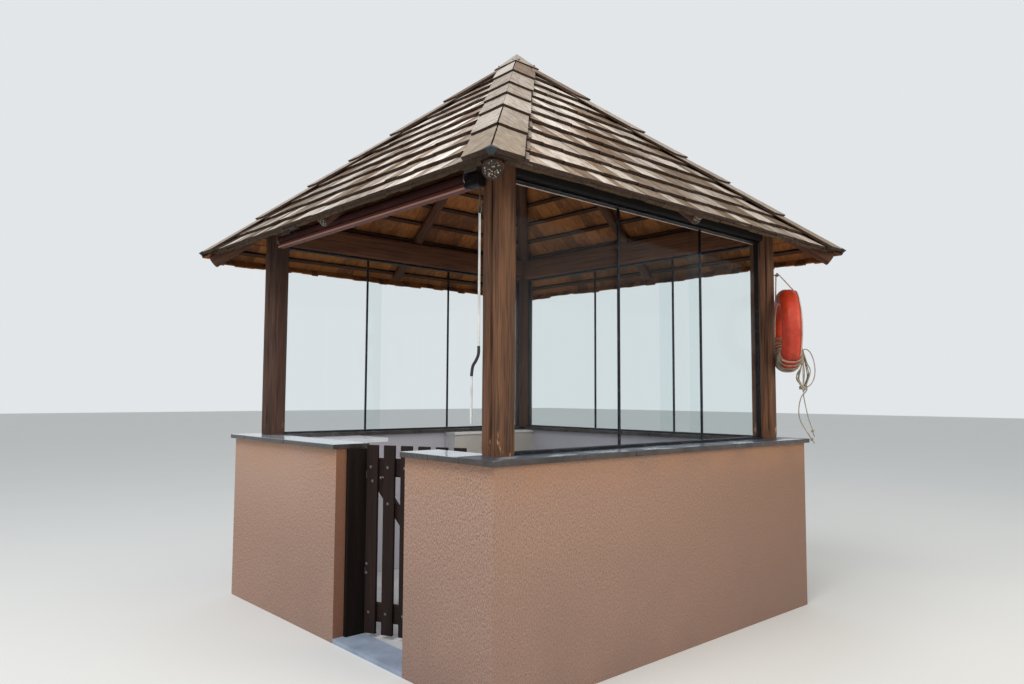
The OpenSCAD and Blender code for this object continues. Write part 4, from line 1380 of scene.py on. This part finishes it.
@dataclass
class Roof:
    """Shingle courses, hip boards, apex cap, corner flashings, logs, battens and beams."""

    gap: float = 0.0012
    butt: float = 0.020
    overlap: float = 1.55
    widths: Triple = (0.082, 0.19, 0.128)
    starter_widths: Triple = (0.10, 0.22, 0.15)
    thickness: tuple[float, float] = (0.016, 0.0192)
    drops: tuple[float, ...] = (-0.011, -0.005, 0.0, 0.003, 0.009)
    ages: tuple[float, ...] = (0.0, 0.0, 0.0, 0.18, 0.42)
    hip_width: float = 0.2
    hip_butts: tuple[float, ...] = (0.0, 0.39, 0.77, 1.07, 1.37, 1.76, 2.19)
    log_room: float = 0.104
    slit_courses: int = 2
    aged_from: int = 10
    near_sides: tuple[Side, ...] = (Side.FRONT, Side.RIGHT)

    def back_from_eave(self, side: Side, across: float) -> float:
        """How far up the slope the first butts lie from the hips' ends; the shaded sides lie flush."""
        if side not in self.near_sides:
            return 0.0
        return 0.034 + 0.014 * (1 - (across / PLAN.eave_half) ** 2)

    def cut(self, outline: Outline, back: float, least: float = 2e-4) -> Outline:
        """An outline cut to a roof face, kept back from its hips; empty where less than the least area is left."""
        reach, rate = PLAN.eave_half - back, math.cos(PLAN.pitch)
        outline = clipped(outline, lambda t, s: reach - s * rate - t)
        outline = clipped(outline, lambda t, s: reach - s * rate + t)
        return outline if len(outline) > 2 and area_of(outline) >= least else []

    def lay(self, stock: Stock, side: Side, outline: Outline, high: Level, low: Level, *kinds: Surface) -> None:
        """Adds a board to a roof face, as Stock.slab does, with its heights square to the face."""
        how = {"kinds": kinds} if kinds else {}
        stock.slab(outline, high, low, lambda t, s, h: PLAN.on_roof(side, t, s, h), **how)

    def mitred(self, side: Side, hand: int, slit: float) -> Place:
        """Places a board's points, with the points near the hip spread so that its edge there is upright."""

        def place(t: float, s: float, h: float) -> Vector:
            spread = h * math.sin(PLAN.pitch) if PLAN.reach(s) - abs(t) < slit else 0.0
            return PLAN.on_roof(side, t + hand * spread, s, h)

        return place

    def lay_shingle(
        self, stock: Stock, side: Side, rng: random.Random, course: int, t0: float, t1: float
    ) -> None:
        """Adds one shingle between t0 and t1 of a course."""
        step, s0, middle = PLAN.step, course * PLAN.step, (t0 + t1) / 2
        top_s = min(s0 + self.overlap * step, PLAN.slope)
        drop = rng.choice(self.drops) + rng.uniform(-0.002, 0.002)
        if course == 0:
            drop = max(drop, 0.001) + self.back_from_eave(side, middle)
        skew = rng.uniform(-0.004, 0.004) if course else 0.0
        lift = rng.uniform(-0.003, 0.0004)
        notch = (middle - rng.uniform(0, 0.02), s0 + drop + rng.uniform(-0.0015, 0.0015))
        outline = [(t0, s0 + drop + skew), notch, (t1, s0 + drop - skew), (t1, top_s), (t0, top_s)]
        outline = self.cut(outline, self.gap)
        if not outline:
            return
        tilt = rng.uniform(-0.008, 0.008)
        thick, thin, end_low = rng.uniform(*self.thickness), 0.0008, -PLAN.cover + 0.0003

        def high(t: float, s: float) -> float:
            return lift - self.butt * (s - s0) / step + tilt * (t - middle)

        def under(t: float, s: float) -> float:
            fade = (s - s0) / (self.overlap * step)
            return min(high(t, s) - thin, -thick * (1 - fade) + end_low * fade)

        age = 1.0 if course >= self.aged_from else rng.choice(self.ages)
        stock.next_board(BOARD_SHIFT, rng.random(), age)
        self.lay(stock, side, outline, high, under)

    def lay_face(self, side: Side) -> None:
        """All the courses of one roof face, with a starter course under the first."""
        rng, stock, joint = random.Random(40 + side.value), Stock(), 0.0001
        for course in range(PLAN.courses):
            reach = PLAN.reach(course * PLAN.step) + 0.02
            for t, width in strewn(rng, -reach - rng.uniform(0, 0.08), reach, self.widths):
                self.lay_shingle(stock, side, rng, course, t + joint, t + width - joint)
        for t, width in strewn(rng, -PLAN.eave_half - 0.03, PLAN.eave_half, self.starter_widths):
            back = rng.uniform(0.001, 0.012) + self.back_from_eave(side, t + width / 2)
            outline = self.cut(rectangle(t, t + width - HAIR, back, 0.2), self.gap)
            if outline:
                stock.next_board(BOARD_SHIFT, rng.random(), 0.35)
                self.lay(stock, side, outline, lambda t, s: -0.0202 - 0.02 * s, -0.0316)
        name = side.name.lower()
        stock.piece(f"{name}_courses", "shingle", "shingle", [f"{name}_shingles"], edges=0.0012)

    def hip_board(
        self, stock: Stock, side: Side, hand: int, rng: random.Random, low: float, high: float, course: int
    ) -> None:
        """Adds one hip board, between two distances up the slope, on one hand of a face."""
        aged = course == len(self.hip_butts) - 2
        slit = 0.005 if course < self.slit_courses or aged else 0.0008
        width = self.hip_width + rng.uniform(-0.012, 0.004)
        up = min(high + 0.02, PLAN.slope - 0.10)
        steps, butt, thin = 6, 0.0235, 0.0075
        outline = []
        for k in range(steps + 1):
            d = slit + (width - slit) * k / steps
            bow = 0.026 * (1 - k / steps) ** 2 - 0.006
            wave = rng.uniform(-0.0015, 0.0015)
            s = low + (bow if course else 0.0032 + 0.004 * (1 - k / steps)) + (wave if course else 0.0)
            outline.append((hand * (PLAN.reach(s) - d), s))
        outline += [(hand * (PLAN.reach(up) - d), up) for d in (width, slit)]

        def top(_: float, s: float) -> float:
            return butt + (thin - butt) * min(1.0, max(0.0, (s - low) / (up - low)))

        chance = rng.random()
        stock.next_board(BOARD_SHIFT, chance, 0.55 if aged else 0.0, 0.0 if aged else rng.uniform(0.75, 1.0))
        stock.slab(anticlockwise(outline), top, 0.0004, self.mitred(side, hand, slit + 0.0005))

    def lay_strip(self, stock: Stock, side: Side, course: int, near: float, far: float, kind: Surface) -> None:
        """Adds a narrow strip beside a hip, on a face's left hand, for one course."""
        step = PLAN.step
        s0, s1 = course * step + (0.004 if course else 0.036), (course + 1) * step - 0.002
        d0, d1 = self.hip_width + near, self.hip_width + far
        outline = [(d - PLAN.reach(s), s) for s, d in ((s0, d1), (s0, d0), (s1, d0), (s1, d1))]

        def level(start: float, share: float) -> Level:
            return lambda t, s: start - self.butt * (s - s0) / step * share

        kinds = (kind, Surface.UNDER, Surface.EDGE)
        self.lay(stock, side, anticlockwise(outline), level(0.004, 1.0), level(-0.012, 0.8), *kinds)

    def lay_hips(self) -> None:
        """The stepped boards on both hands of every hip, with the narrow strips beside them: a thin strip in the dark
        butt colour, a painted shadow line along the boards' edge, and on the lower four courses a wider brown filler
        strip; their age tone darkens all the strips, partly the filler's own brown and partly painted shade.
        """
        boards, strips = Stock(), Stock()
        for side in Side:
            rng = random.Random(90 + side.value)
            for hand in (-1, 1):
                for course, low in enumerate(self.hip_butts[:-1]):
                    self.hip_board(boards, side, hand, rng, low, self.hip_butts[course + 1], course)
            for course in range(10):
                # The thin strip's top takes the butt colour as a painted shadow line; the wider strip is the brown
                # filler.
                widths = ((0.0006, 0.0080, Surface.EDGE), (0.0084, 0.0320, Surface.TOP))
                for near, far, kind in widths[: 2 if course < 4 else 1]:
                    strips.next_board(BOARD_SHIFT, rng.random(), 0.8)
                    self.lay_strip(strips, side, course, near, far, kind)
        boards.piece("hip_board_pairs", "shingle", "hip_board", ["hip_boards"], edges=0.0015)
        strips.piece("hip_side_strips", "shingle", "shingle", edges=0.001)

    def cap_apex(self) -> None:
        """Four boards that meet over the apex."""
        stock, rng = Stock(), random.Random(7)
        cap_length, seat, butt, thick = 0.15, 0.0135, 0.006, 0.0165
        s0 = PLAN.slope - cap_length
        outline = [(-PLAN.reach(s0), s0), (0.0, s0 - 0.002), (PLAN.reach(s0), s0), (0.0, PLAN.slope)]

        def top(_: float, s: float) -> float:
            return seat + butt + (thick - butt) * max(0.0, (s - s0) / cap_length)

        def placer(side: Side) -> Place:
            def place(t: float, s: float, h: float) -> Vector:
                if s > PLAN.slope - 1e-6:
                    return Vector((0, 0, PLAN.apex + h / math.cos(PLAN.pitch)))
                spread = 0.0 if abs(t) < 1e-6 else math.copysign(h * math.sin(PLAN.pitch), t)
                return PLAN.on_roof(side, t + spread, s, h)

            return place

        for side in Side:
            stock.next_board(BOARD_SHIFT, rng.random(), 0.75)
            stock.slab(outline, top, seat, placer(side))
        stock.piece("apex_cap_boards", "shingle", "hip_board", ["apex_cap"], edges=0.002)

    def flash_corners(self) -> None:
        """A small sheet folded over the foot of each hip and down over the boards' lower ends."""
        stock = Stock()
        sheets = (
            (((0.001, 0.0), (0.030, 0.0), (0.019, 0.022), (0.001, 0.046)), 0.0230),
            (((0.001, 0.0), (0.0028, 0.0), (0.0028, 0.022), (0.001, 0.022)), -0.010),
        )
        for side in Side:
            for hand in (-1, 1):
                for corners, low in sheets:
                    outline = anticlockwise([(hand * (PLAN.reach(s) - d), s) for s, d in corners])
                    stock.slab(outline, 0.0246, low, self.mitred(side, hand, 1e-6))
        stock.piece("corner_flashings", "lead_sheet", "hip_board", edges=0.0004)

    def lay_eaves(self) -> None:
        """The row of short split pieces nailed under each eave: dark at the near sides, long and tan at the others."""
        stocks = {False: Stock(), True: Stock()}
        for side in Side:
            shaded = side not in self.near_sides
            widths, depths, length = (
                ((0.05, 0.12, 0.08), (0.046, 0.070), 0.012)
                if shaded
                else ((0.09, 0.2, 0.13), (0.014, 0.022), 0.020)
            )
            kinds = (Surface.UNDER,) * 3 if shaded else ()
            rng = random.Random(70 + side.value)
            for t, width in strewn(rng, -PLAN.eave_half, PLAN.eave_half, widths):
                near = rng.uniform(0.0045, 0.011) + self.back_from_eave(side, t + width / 2)
                depth = rng.uniform(*depths)
                outline = self.cut(rectangle(t, t + width - 0.001, near, near + length), self.log_room, 1e-4)
                if outline:
                    stocks[shaded].next_board(BOARD_SHIFT, rng.random(), 0.5)
                    self.lay(stocks[shaded], side, outline, -PLAN.seat - HAIR, -PLAN.seat - depth, *kinds)
        stocks[False].piece("eave_pieces", "eave_wood", "shingle", edges=0.001)
        stocks[True].piece("shaded_eave_pieces", "shingle", "shingle", edges=0.001)

    def lay_battens(self) -> None:
        """The battens under the shingles of each face, let in between the logs."""
        stock, rng = Stock(), random.Random(31)
        beside, width = 0.0345, 0.030
        for side in Side:
            for s0 in ((i + 0.5) * PLAN.step for i in range(PLAN.courses - 1)):
                for hand in (-1, 1):
                    t0, t1 = sorted((hand * beside, hand * PLAN.reach(s0)))
                    outline = self.cut(rectangle(t0, t1, s0, s0 + width), self.log_room, 1e-4)
                    if outline:
                        stock.next_board(BOARD_SHIFT, rng.random())
                        self.lay(stock, side, outline, -PLAN.seat - HAIR, -PLAN.seat - PLAN.batten)
        for grain in stock.grain:
            grain.xy = grain.yx
        stock.piece("roof_battens", "batten_wood", "roof_log", ["battens"], edges=0.002)

    def lay_logs(self) -> None:
        """The hip logs and middle logs, a little thicker and lower than their solids, and their king block."""
        for logs in ROOF_LOGS:
            foot_z = PLAN.eave_top + (PLAN.eave_half - logs.tail) * PLAN.rise - PLAN.drop(logs.size)
            foot = Vector((logs.tail * logs.spread, 0, foot_z))
            top = Vector((logs.head * logs.spread, 0, PLAN.apex - logs.head * PLAN.rise - PLAN.drop(logs.size)))
            stock, low, radius = Stock(), Vector((0, 0, -logs.sag)), logs.size / 2 + logs.wider
            for i in range(4):
                turn = Matrix.Rotation(math.radians(logs.angle + 90 * i), 4, "Z")
                stock.next_board(5.1, logs.tone * i)
                ends = (turn @ foot + low, turn @ top + low)
                add_log(stock, *ends, radius, logs.seed + i, logs.checks, logs.rings, logs.sides)
            stock.piece(f"{logs.name}_set", "roof_log", "roof_log", [f"{logs.name}s"])
        board_for("king_block", "king_block_timber", "beam_timber", "roof_log", 0.008)

    def lay_beams(self) -> None:
        """The hewn beams between the posts."""
        count, reach = 26, PLAN.post_at - 0.03
        middle = (PLAN.beam_top + PLAN.beam_low) / 2
        profile = rounded_profile(PLAN.beam_width / 2, (PLAN.beam_top - PLAN.beam_low) / 2, 0.018)
        for side in Side:
            rings = []
            for along in (-reach + 2 * reach * i / count for i in range(count + 1)):
                ring = []
                for across, up in profile:
                    key = Vector((across * 20, up * 20, along * 2 + side.value * 9))
                    worn = 1 - 0.03 * abs(noise.noise(key)) - 0.004
                    point = Vector((PLAN.post_at + across * worn, along, middle + up * worn))
                    ring.append((quarter_turned(point, side), Vector((along, across, up))))
                rings.append(ring)
            stock = Stock(shift=11.0 * side.value)
            stock.loft(rings[::-1])
            # Painted shade: all but the front beam have their outer face painted near black.
            name, finish = side.name.lower(), "beam_timber" if side is Side.FRONT else "beam_outer_shaded"
            stock.piece(f"{name}_beam_timber", finish, "beam_timber", [f"{name}_beam"])

    def build(self) -> None:
        """Makes the whole roof."""
        for side in Side:
            self.lay_face(side)
        self.lay_hips()
        self.cap_apex()
        self.flash_corners()
        self.lay_eaves()
        self.lay_battens()
        self.lay_logs()
        self.lay_beams()


# ---------------------------------------------------------------- walls, posts and glazing


@dataclass
class Masonry:
    """Rendered walls, cap stones, floor and threshold."""

    joint: float = 0.003
    gateway: tuple[float, float] = (0.035, 0.755)

    def lay_caps(self, name: str, rows: Sequence[tuple[Vector, Vector, int, Sequence[float]]]) -> None:
        """Makes the cap stones that stand for one node.

        Args:
            name: the node's name.
            rows: rows of stones: two corners, the axis along the row and the stones' shares of it.
        """
        stock = Stock()
        for low, high, along, lengths in rows:
            start, scale = low[along], (high[along] - low[along]) / sum(lengths)
            for length in lengths:
                a, b = low.copy(), high.copy()
                a[along], b[along] = start, start + length * scale - self.joint
                stock.shift += 2.3
                stock.beam(a, b, along)
                start += length * scale
        stock.piece(f"{name.removesuffix('s')}_stones", "polished_slate", "slate", [name], edges=0.003)

    def build(self) -> None:
        """Dresses the walls and makes the cap stones."""
        for name in ("left_wall", "right_wall", "back_wall", "front_piers"):
            dress_node(name, "combed_render", 0.006)
        dress_node("floor", "floor_screed", 0.001)
        dress_node("threshold", "threshold_stone", 0.004)
        for name, along, lengths in (
            ("left_cap", 1, (1, 1.1, 1.0)),
            ("right_cap", 1, (1.05, 1, 1.0)),
            ("back_cap", 0, (1, 1, 0.9)),
        ):
            self.lay_caps(name, [(*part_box(name), along, lengths)])
        low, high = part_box("front_caps")
        left, right = self.gateway
        left_row = (low, Vector((left, high.y, high.z)), 0, (1.0, 1.05))
        self.lay_caps("front_caps", [left_row, (Vector((right, low.y, low.z)), high, 0, (0.255, 0.26))])


@dataclass
class Posts:
    """The four log posts, with their long checks."""

    top: float = 2.803

    def build(self) -> None:
        """Makes the posts."""
        a = PLAN.post_at
        for name, x, y, checks in (
            ("front_left_post", -a, -a, ((-60, 0.010, 0.004), (-20, 0.005, 0.003), (120, 0.008, 0.004))),
            ("front_right_post", a, -a, ((-70, 0.018, 0.005), (16, 0.003, 0.003), (100, 0.008, 0.004))),
            ("back_left_post", -a, a, ((-50, 0.008, 0.004), (60, 0.008, 0.004))),
            ("back_right_post", a, a, ((-40, 0.012, 0.005), (80, 0.006, 0.004))),
        ):
            stock = Stock(shift=7.0 * (x + 2 * y))
            foot, head = Vector((x, y, PLAN.cap_top)), Vector((x, y, self.top))
            add_log(stock, foot, head, PLAN.post_radius, 10 * x + y, checks, rings=44, sides=72)
            stock.piece(f"{name}_log", "shaded_post" if x < 0 else "post_log", "post_log", [name], smooth=50)


@dataclass
class Glazing:
    """Sliding panes in their tracks, with upright end channels and a pale strip along the right upper track, a painted
    highlight kept near white in the beam's shade.
    """

    channel_half: float = 0.018
    channel_z: tuple[float, float] = (1.2065, 2.6205)

    def build(self) -> None:
        """Dresses the panes and tracks and adds their fittings."""
        dress_node("sliding_panes", "pane_glass")
        dress_node("glazing_tracks", "track_metal", 0.0008)
        channels, strips = Stock(), Stock()
        at, bay, half = PLAN.post_at, PLAN.post_at - PLAN.post_radius, self.channel_half
        for side in (Side.RIGHT, Side.BACK, Side.LEFT):
            for end in (-1, 1):
                y0, y1 = sorted((end * (bay - 0.001), end * (bay + 0.012)))
                low, high = ((at + way, y, z) for way, y, z in zip((-half, half), (y0, y1), self.channel_z))
                channels.beam(low, high, 2, lambda point, side=side: quarter_turned(point, side))
        # Painted highlight: a near-white strip under the right beam.
        strips.beam((at - 0.0262, -bay, 2.6186), (at - 0.0185, bay, 2.6212), 2)
        channels.piece("end_channels", "dark_profile", "track_metal", edges=0.002)
        strips.piece("track_strips", "painted_highlight_strip", "track_metal", edges=0.0006)


# ---------------------------------------------------------------- gate


@dataclass
class Gate:
    """The picket gate, ajar on its jamb, with rails, brace, bolts and hinges."""

    hinge: tuple[float, float] = (0.0535, -1.277)
    ajar: float = math.radians(24.3)
    leaf: tuple[float, float] = (0.062, 0.748)
    pickets: int = 6
    picket_w: float = 0.078
    picket_thick: float = 0.020
    picket_front: float = -1.327
    picket_z: tuple[float, float] = (0.042, 1.183)
    rails: tuple[float, float] = (0.110, 0.990)
    rail_high: float = 0.112
    brace_w: float = 0.08
    brace_z: tuple[float, float] = (0.222, 0.990)
    plate_bolts: tuple[tuple[float, float], ...] = (
        (0.106, 0.963), (0.167, 0.985), (0.218, 0.829), (0.072, 0.458), (0.072, 0.404),
    )  # fmt: skip

    def swung(self, point: Vector) -> Vector:
        """A point of the closed gate, turned to the gate ajar."""
        pin = Matrix.Translation((*self.hinge, 0))
        return pin @ Matrix.Rotation(self.ajar, 4, "Z") @ pin.inverted() @ point

    def bolt(self, stock: Stock, x: float, z: float) -> None:
        """Adds a round bolt head with its washer on the gate's front."""
        for radius, depth, lift in ((0.009, 0.0015, 0.0), (0.0062, 0.0045, 0.0015)):
            rings = []
            for share, size in ((0.0, radius), (0.7, radius), (1.0, radius * 0.6)):
                y = self.picket_front - lift - depth * share
                turns = (-math.tau * k / 12 for k in reversed(range(12)))
                ring = [self.swung(Vector((x + size * math.cos(a), y, z + size * math.sin(a)))) for a in turns]
                rings.append([(spot, spot) for spot in ring])
            stock.loft(rings)

    def build(self) -> None:
        """Makes the leaf and dresses the jamb and hinges."""
        boards, bolts, rng = Stock(), Stock(), random.Random(12)
        (x0, x1), (low, high), (foot, head) = self.leaf, self.picket_z, self.brace_z
        front, back, rail_back, shift = self.picket_front, self.picket_front + self.picket_thick, self.hinge[1], 4.3
        step = (x1 - x0 - self.picket_w) / (self.pickets - 1)
        for left in (x0 + i * step for i in range(self.pickets)):
            boards.next_board(shift, rng.random())
            boards.beam((left, front, low), (left + self.picket_w, back, high), 2, self.swung)
            for rail in self.rails:
                self.bolt(bolts, left + 0.030, rail + 0.058)
        for x, z in self.plate_bolts:
            self.bolt(bolts, x, z)
        for rail in self.rails:
            boards.next_board(shift, rng.random())
            boards.beam((x0, back + 0.0003, rail), (x1, rail_back, rail + self.rail_high), 0, self.swung)
        boards.shift += shift
        brace = anticlockwise([(x0, head), (x1 - self.brace_w, foot), (x1, foot), (x0 + self.brace_w, head)])
        boards.slab(brace, rail_back - 0.0006, back + 0.0006, lambda x, z, y: self.swung(Vector((x, y, z))))
        boards.faces[-6:] = [face[::-1] for face in boards.faces[-6:]]  # the brace was laid out on its back
        boards.piece("gate_boards", "gate_wood", "gate_wood", ["gate"], "gate_leaf", edges=0.0025)
        bolts.piece("gate_bolts", "steel", "hinge_steel", body="gate_leaf", smooth=50)
        dress_node("gate_hinge_plates", "steel")
        dress_node("jamb_hinges", "steel")
        board_for("gate_jamb", "jamb_board", "jamb_wood", "jamb_wood", 0.002)


# ---------------------------------------------------------------- awning


@dataclass
class Awning:
    """The canvas roll on its tube, the front bar, brackets, gear box and crank."""

    axis_y: float = -1.412
    axis_z: float = 2.620
    x0: float = -1.0
    x1: float = 1.17
    inner: float = 0.0195
    outer: float = 0.0316
    turns: float = 6.5
    tube: float = 0.036
    rod_x: float = 1.274
    arm_x: float = 1.218
    rod: float = 0.0125
    plate: float = 0.008

    def on_axis(self, xs: Sequence[float]) -> list[Vector]:
        """Points on the roll's axis."""
        return [Vector((x, self.axis_y, self.axis_z)) for x in xs]

    def spiral(self, turn: float) -> tuple[float, float]:
        """A point (y, z) of the rolled canvas after that many turns."""
        radius = self.inner + (self.outer - self.inner) * turn / self.turns
        angle = math.tau * turn - 1.2
        return self.axis_y + radius * math.cos(angle), self.axis_z + radius * math.sin(angle)

    def roll(self, per_turn: int = 36, columns: int = 18) -> None:
        """The canvas, wound on its tube, with the free edge at the front bar."""
        stock, rows = Stock(), []
        start, end = self.x0 + 0.006, self.x1 - 0.006
        length, before = 0.0, self.spiral(0)
        for i in range(round(self.turns * per_turn) + 1):
            y, z = self.spiral(i / per_turn)
            length += math.hypot(y - before[0], z - before[1])
            before = (y, z)
            way = Vector((0, y - self.axis_y, z - self.axis_z)).normalized()
            row = []
            for x in (start + (end - start) * k / columns for k in range(columns + 1)):
                crease = noise.noise(Vector((x * 3, i / per_turn, 2.0))) * 0.0006 - 0.0006
                row.append(stock.point(Vector((x, y, z)) + way * crease, Vector((length, x, 0))))
            rows.append(row)
        for a, b in zip(rows, rows[1:]):
            for k in range(columns):
                stock.face([a[k], a[k + 1], b[k + 1], b[k]], Surface.TOP)
        made = stock.piece("canvas_roll", "awning_canvas", "awning_canvas", ["awning_roll"], smooth=60)
        core = Stock()
        core.tube(self.on_axis([self.x0 + (self.x1 - self.x0) * k / 12 for k in range(13)]), self.tube, 24)
        tube = core.piece("roller_tube", "bracket_metal", "awning_bar", smooth=60)

    def crank(self) -> None:
        """The shaft with its eye, the rod that hooks into it, the bend in its sleeve and the lower arm."""
        rod_x, arm_x, y = self.rod_x, self.arm_x, self.axis_y
        rod, sleeve, eye = Stock(), Stock(), Stock()
        eye.tube([Vector((rod_x, y, 2.560 - 0.012 * k)) for k in range(8)], 0.0085, 12)
        loop = []
        for a in (math.tau * k / 32 for k in range(33)):
            loop.append(Vector((rod_x + 0.009 * math.sin(a), y + 0.003 * math.sin(a), 2.445 + 0.032 * math.cos(a))))
        eye.tube(loop, 0.0055, 10, ends=False)
        eye.piece("crank_eye", "steel", "crank_rod", smooth=60)
        rod.tube([Vector((rod_x, y, 1.736 + (2.420 - 1.736) * k / 10)) for k in range(11)], self.rod, 16)
        rod.tube([Vector((arm_x, y, 1.349 + 0.062 * k)) for k in range(5)], self.rod, 16)
        rod.piece("crank_rod", "crank_paint", "crank_rod", ["awning_crank"], smooth=60)
        bend = [(rod_x, 1.742), (rod_x - 0.002, 1.700), (rod_x - 0.022, 1.668), (arm_x + 0.010, 1.640), (arm_x, 1.592)]
        sleeve.tube(smoothed([Vector((x, y, z)) for x, z in bend], 6), 0.0155, 16)
        sleeve.piece("crank_sleeve", "grip_rubber", "crank_rod", smooth=60)

    def fittings(self) -> None:
        """The end brackets with their caps and bolts, and the two folded brackets over the roll."""
        plates, caps = Stock(), Stock()
        low_y, high_y, z1 = self.axis_y - 0.032, -1.3502, self.axis_z + 0.032
        outline: Outline = []
        for cy, cz, first, r in ((high_y - 0.004, z1 - 0.004, 0, 0.004), (low_y + 0.028, z1 - 0.028, 90, 0.028)):
            for a in (math.radians(first + 15 * k) for k in range(7)):
                outline.append((cy + r * math.cos(a), cz + r * math.sin(a)))
        outline += [(y, 2 * self.axis_z - z) for y, z in reversed(outline)]

        def sideways(y: float, z: float, x: float) -> Vector:
            return Vector((x, y, z))

        for x in (self.x0 - self.plate, self.x1):
            plates.slab(outline, x + self.plate, x, sideways)
            for dz in (-0.016, 0.016):
                ends = [x + 0.004 + 0.0058 * k for k in (-1, -0.5, 0, 0.5, 1)]
                caps.tube([Vector((end, -1.362, self.axis_z + dz)) for end in ends], 0.011, 6)
        caps.tube(self.on_axis([self.x0 - 0.0078 - 0.002 * k for k in range(2)]), 0.030, 24)
        for x0, x1, foot in ((self.x0 + 0.070, self.x0 + 0.205, 2.634), (self.x1 + 0.016, self.x1 + 0.115, 2.637)):
            above = [(-1.352, 2.688), (-1.352, 2.6855), (-1.4465, 2.6700)]
            plates.slab([*above, (-1.4465, foot), (-1.4490, foot), (-1.4490, 2.6725)], x1, x0, sideways)
        plates.piece("awning_end_plates", "bracket_metal", "bracket_metal", ["awning_brackets"], edges=0.001)
        caps.piece("awning_bolts", "steel", "bracket_metal", edges=0.0006, smooth=40)

    def gear(self) -> None:
        """The gear box and its pin."""
        stock, rings, middle_z = Stock(), [], 2.596
        profile = rounded_profile(0.025, 0.037, 0.010)[::-1]
        waists = ((0, 0.86), (0.04, 1.0), (0.30, 1.0), (0.31, 0.95), (0.40, 0.95), (0.41, 1.0), (0.95, 1.0), (1, 0.88))
        for share, size in reversed(waists):
            x = 1.1785 + 0.107 * share
            rings.append(
                [(Vector((x, self.axis_y + a * size, middle_z + b * size)), Vector((x, a, b))) for a, b in profile]
            )
        stock.loft(rings)
        stock.tube([Vector((1.20 + 0.06 * k, self.axis_y - 0.0245, middle_z)) for k in range(2)], 0.004)
        stock.piece("awning_gear", "gear_metal", "bracket_metal", edges=0.0008, smooth=40)

    def build(self) -> None:
        """Makes the awning's pieces."""
        self.roll()
        self.crank()
        self.fittings()
        self.gear()
        dress_node("awning_front_bar", "bar_metal", 0.003)


# ---------------------------------------------------------------- inside


@dataclass
class Furniture:
    """The corner shelf and the cupboard that show inside."""

    def build(self) -> None:
        """Dresses the shelf and makes the cupboard from its panels; the pale end panel and top carry its lit colour and
        the grey-beige body and doors its shaded colour, as painted light.
        """
        dress_node("corner_shelf", "shelf_slab", 0.002)
        low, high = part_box("wall_cupboard")
        top, front, seam = high.z - 0.020, high.x - 0.010, (low.y + high.y) / 2
        body, pale = Stock(), Stock()
        body.beam((low.x, low.y + 0.012, low.z), (front - 0.006, high.y, top - HAIR), 2)
        for y0, y1 in ((low.y + 0.012, seam - 0.0015), (seam + 0.0015, high.y)):
            body.shift += 3.1
            body.beam((front - 0.0058, y0, low.z + 0.06), (front, y1, top - 0.004), 2)
        # Painted light: the end panel and the top in the lit colour.
        pale.beam((low.x, low.y + 0.010, low.z), (front, low.y + 0.0118, top - HAIR), 2)
        pale.beam((low.x, low.y, top), high, 1)
        body.piece("cupboard_body", "cupboard_panel", "cupboard_panel", ["wall_cupboard"], edges=0.001)
        pale.piece("cupboard_top", "cupboard_lit_face", "cupboard_panel", edges=0.0008)


def main() -> None:
    """Makes the finishes, the studio and the kiosk's pieces in order."""
    logging.basicConfig(level=logging.INFO, format="%(name)s: %(message)s")
    bpy.context.scene.view_settings.view_transform = "Standard"
    FINISHES.update({maker.name: maker.material() for maker in MAKERS})
    for builder in (Studio, RescueRing, Masonry, Posts, Roof, Glazing, Gate, Awning, Furniture):
        builder().build()


if __name__ == "__main__":
    main()
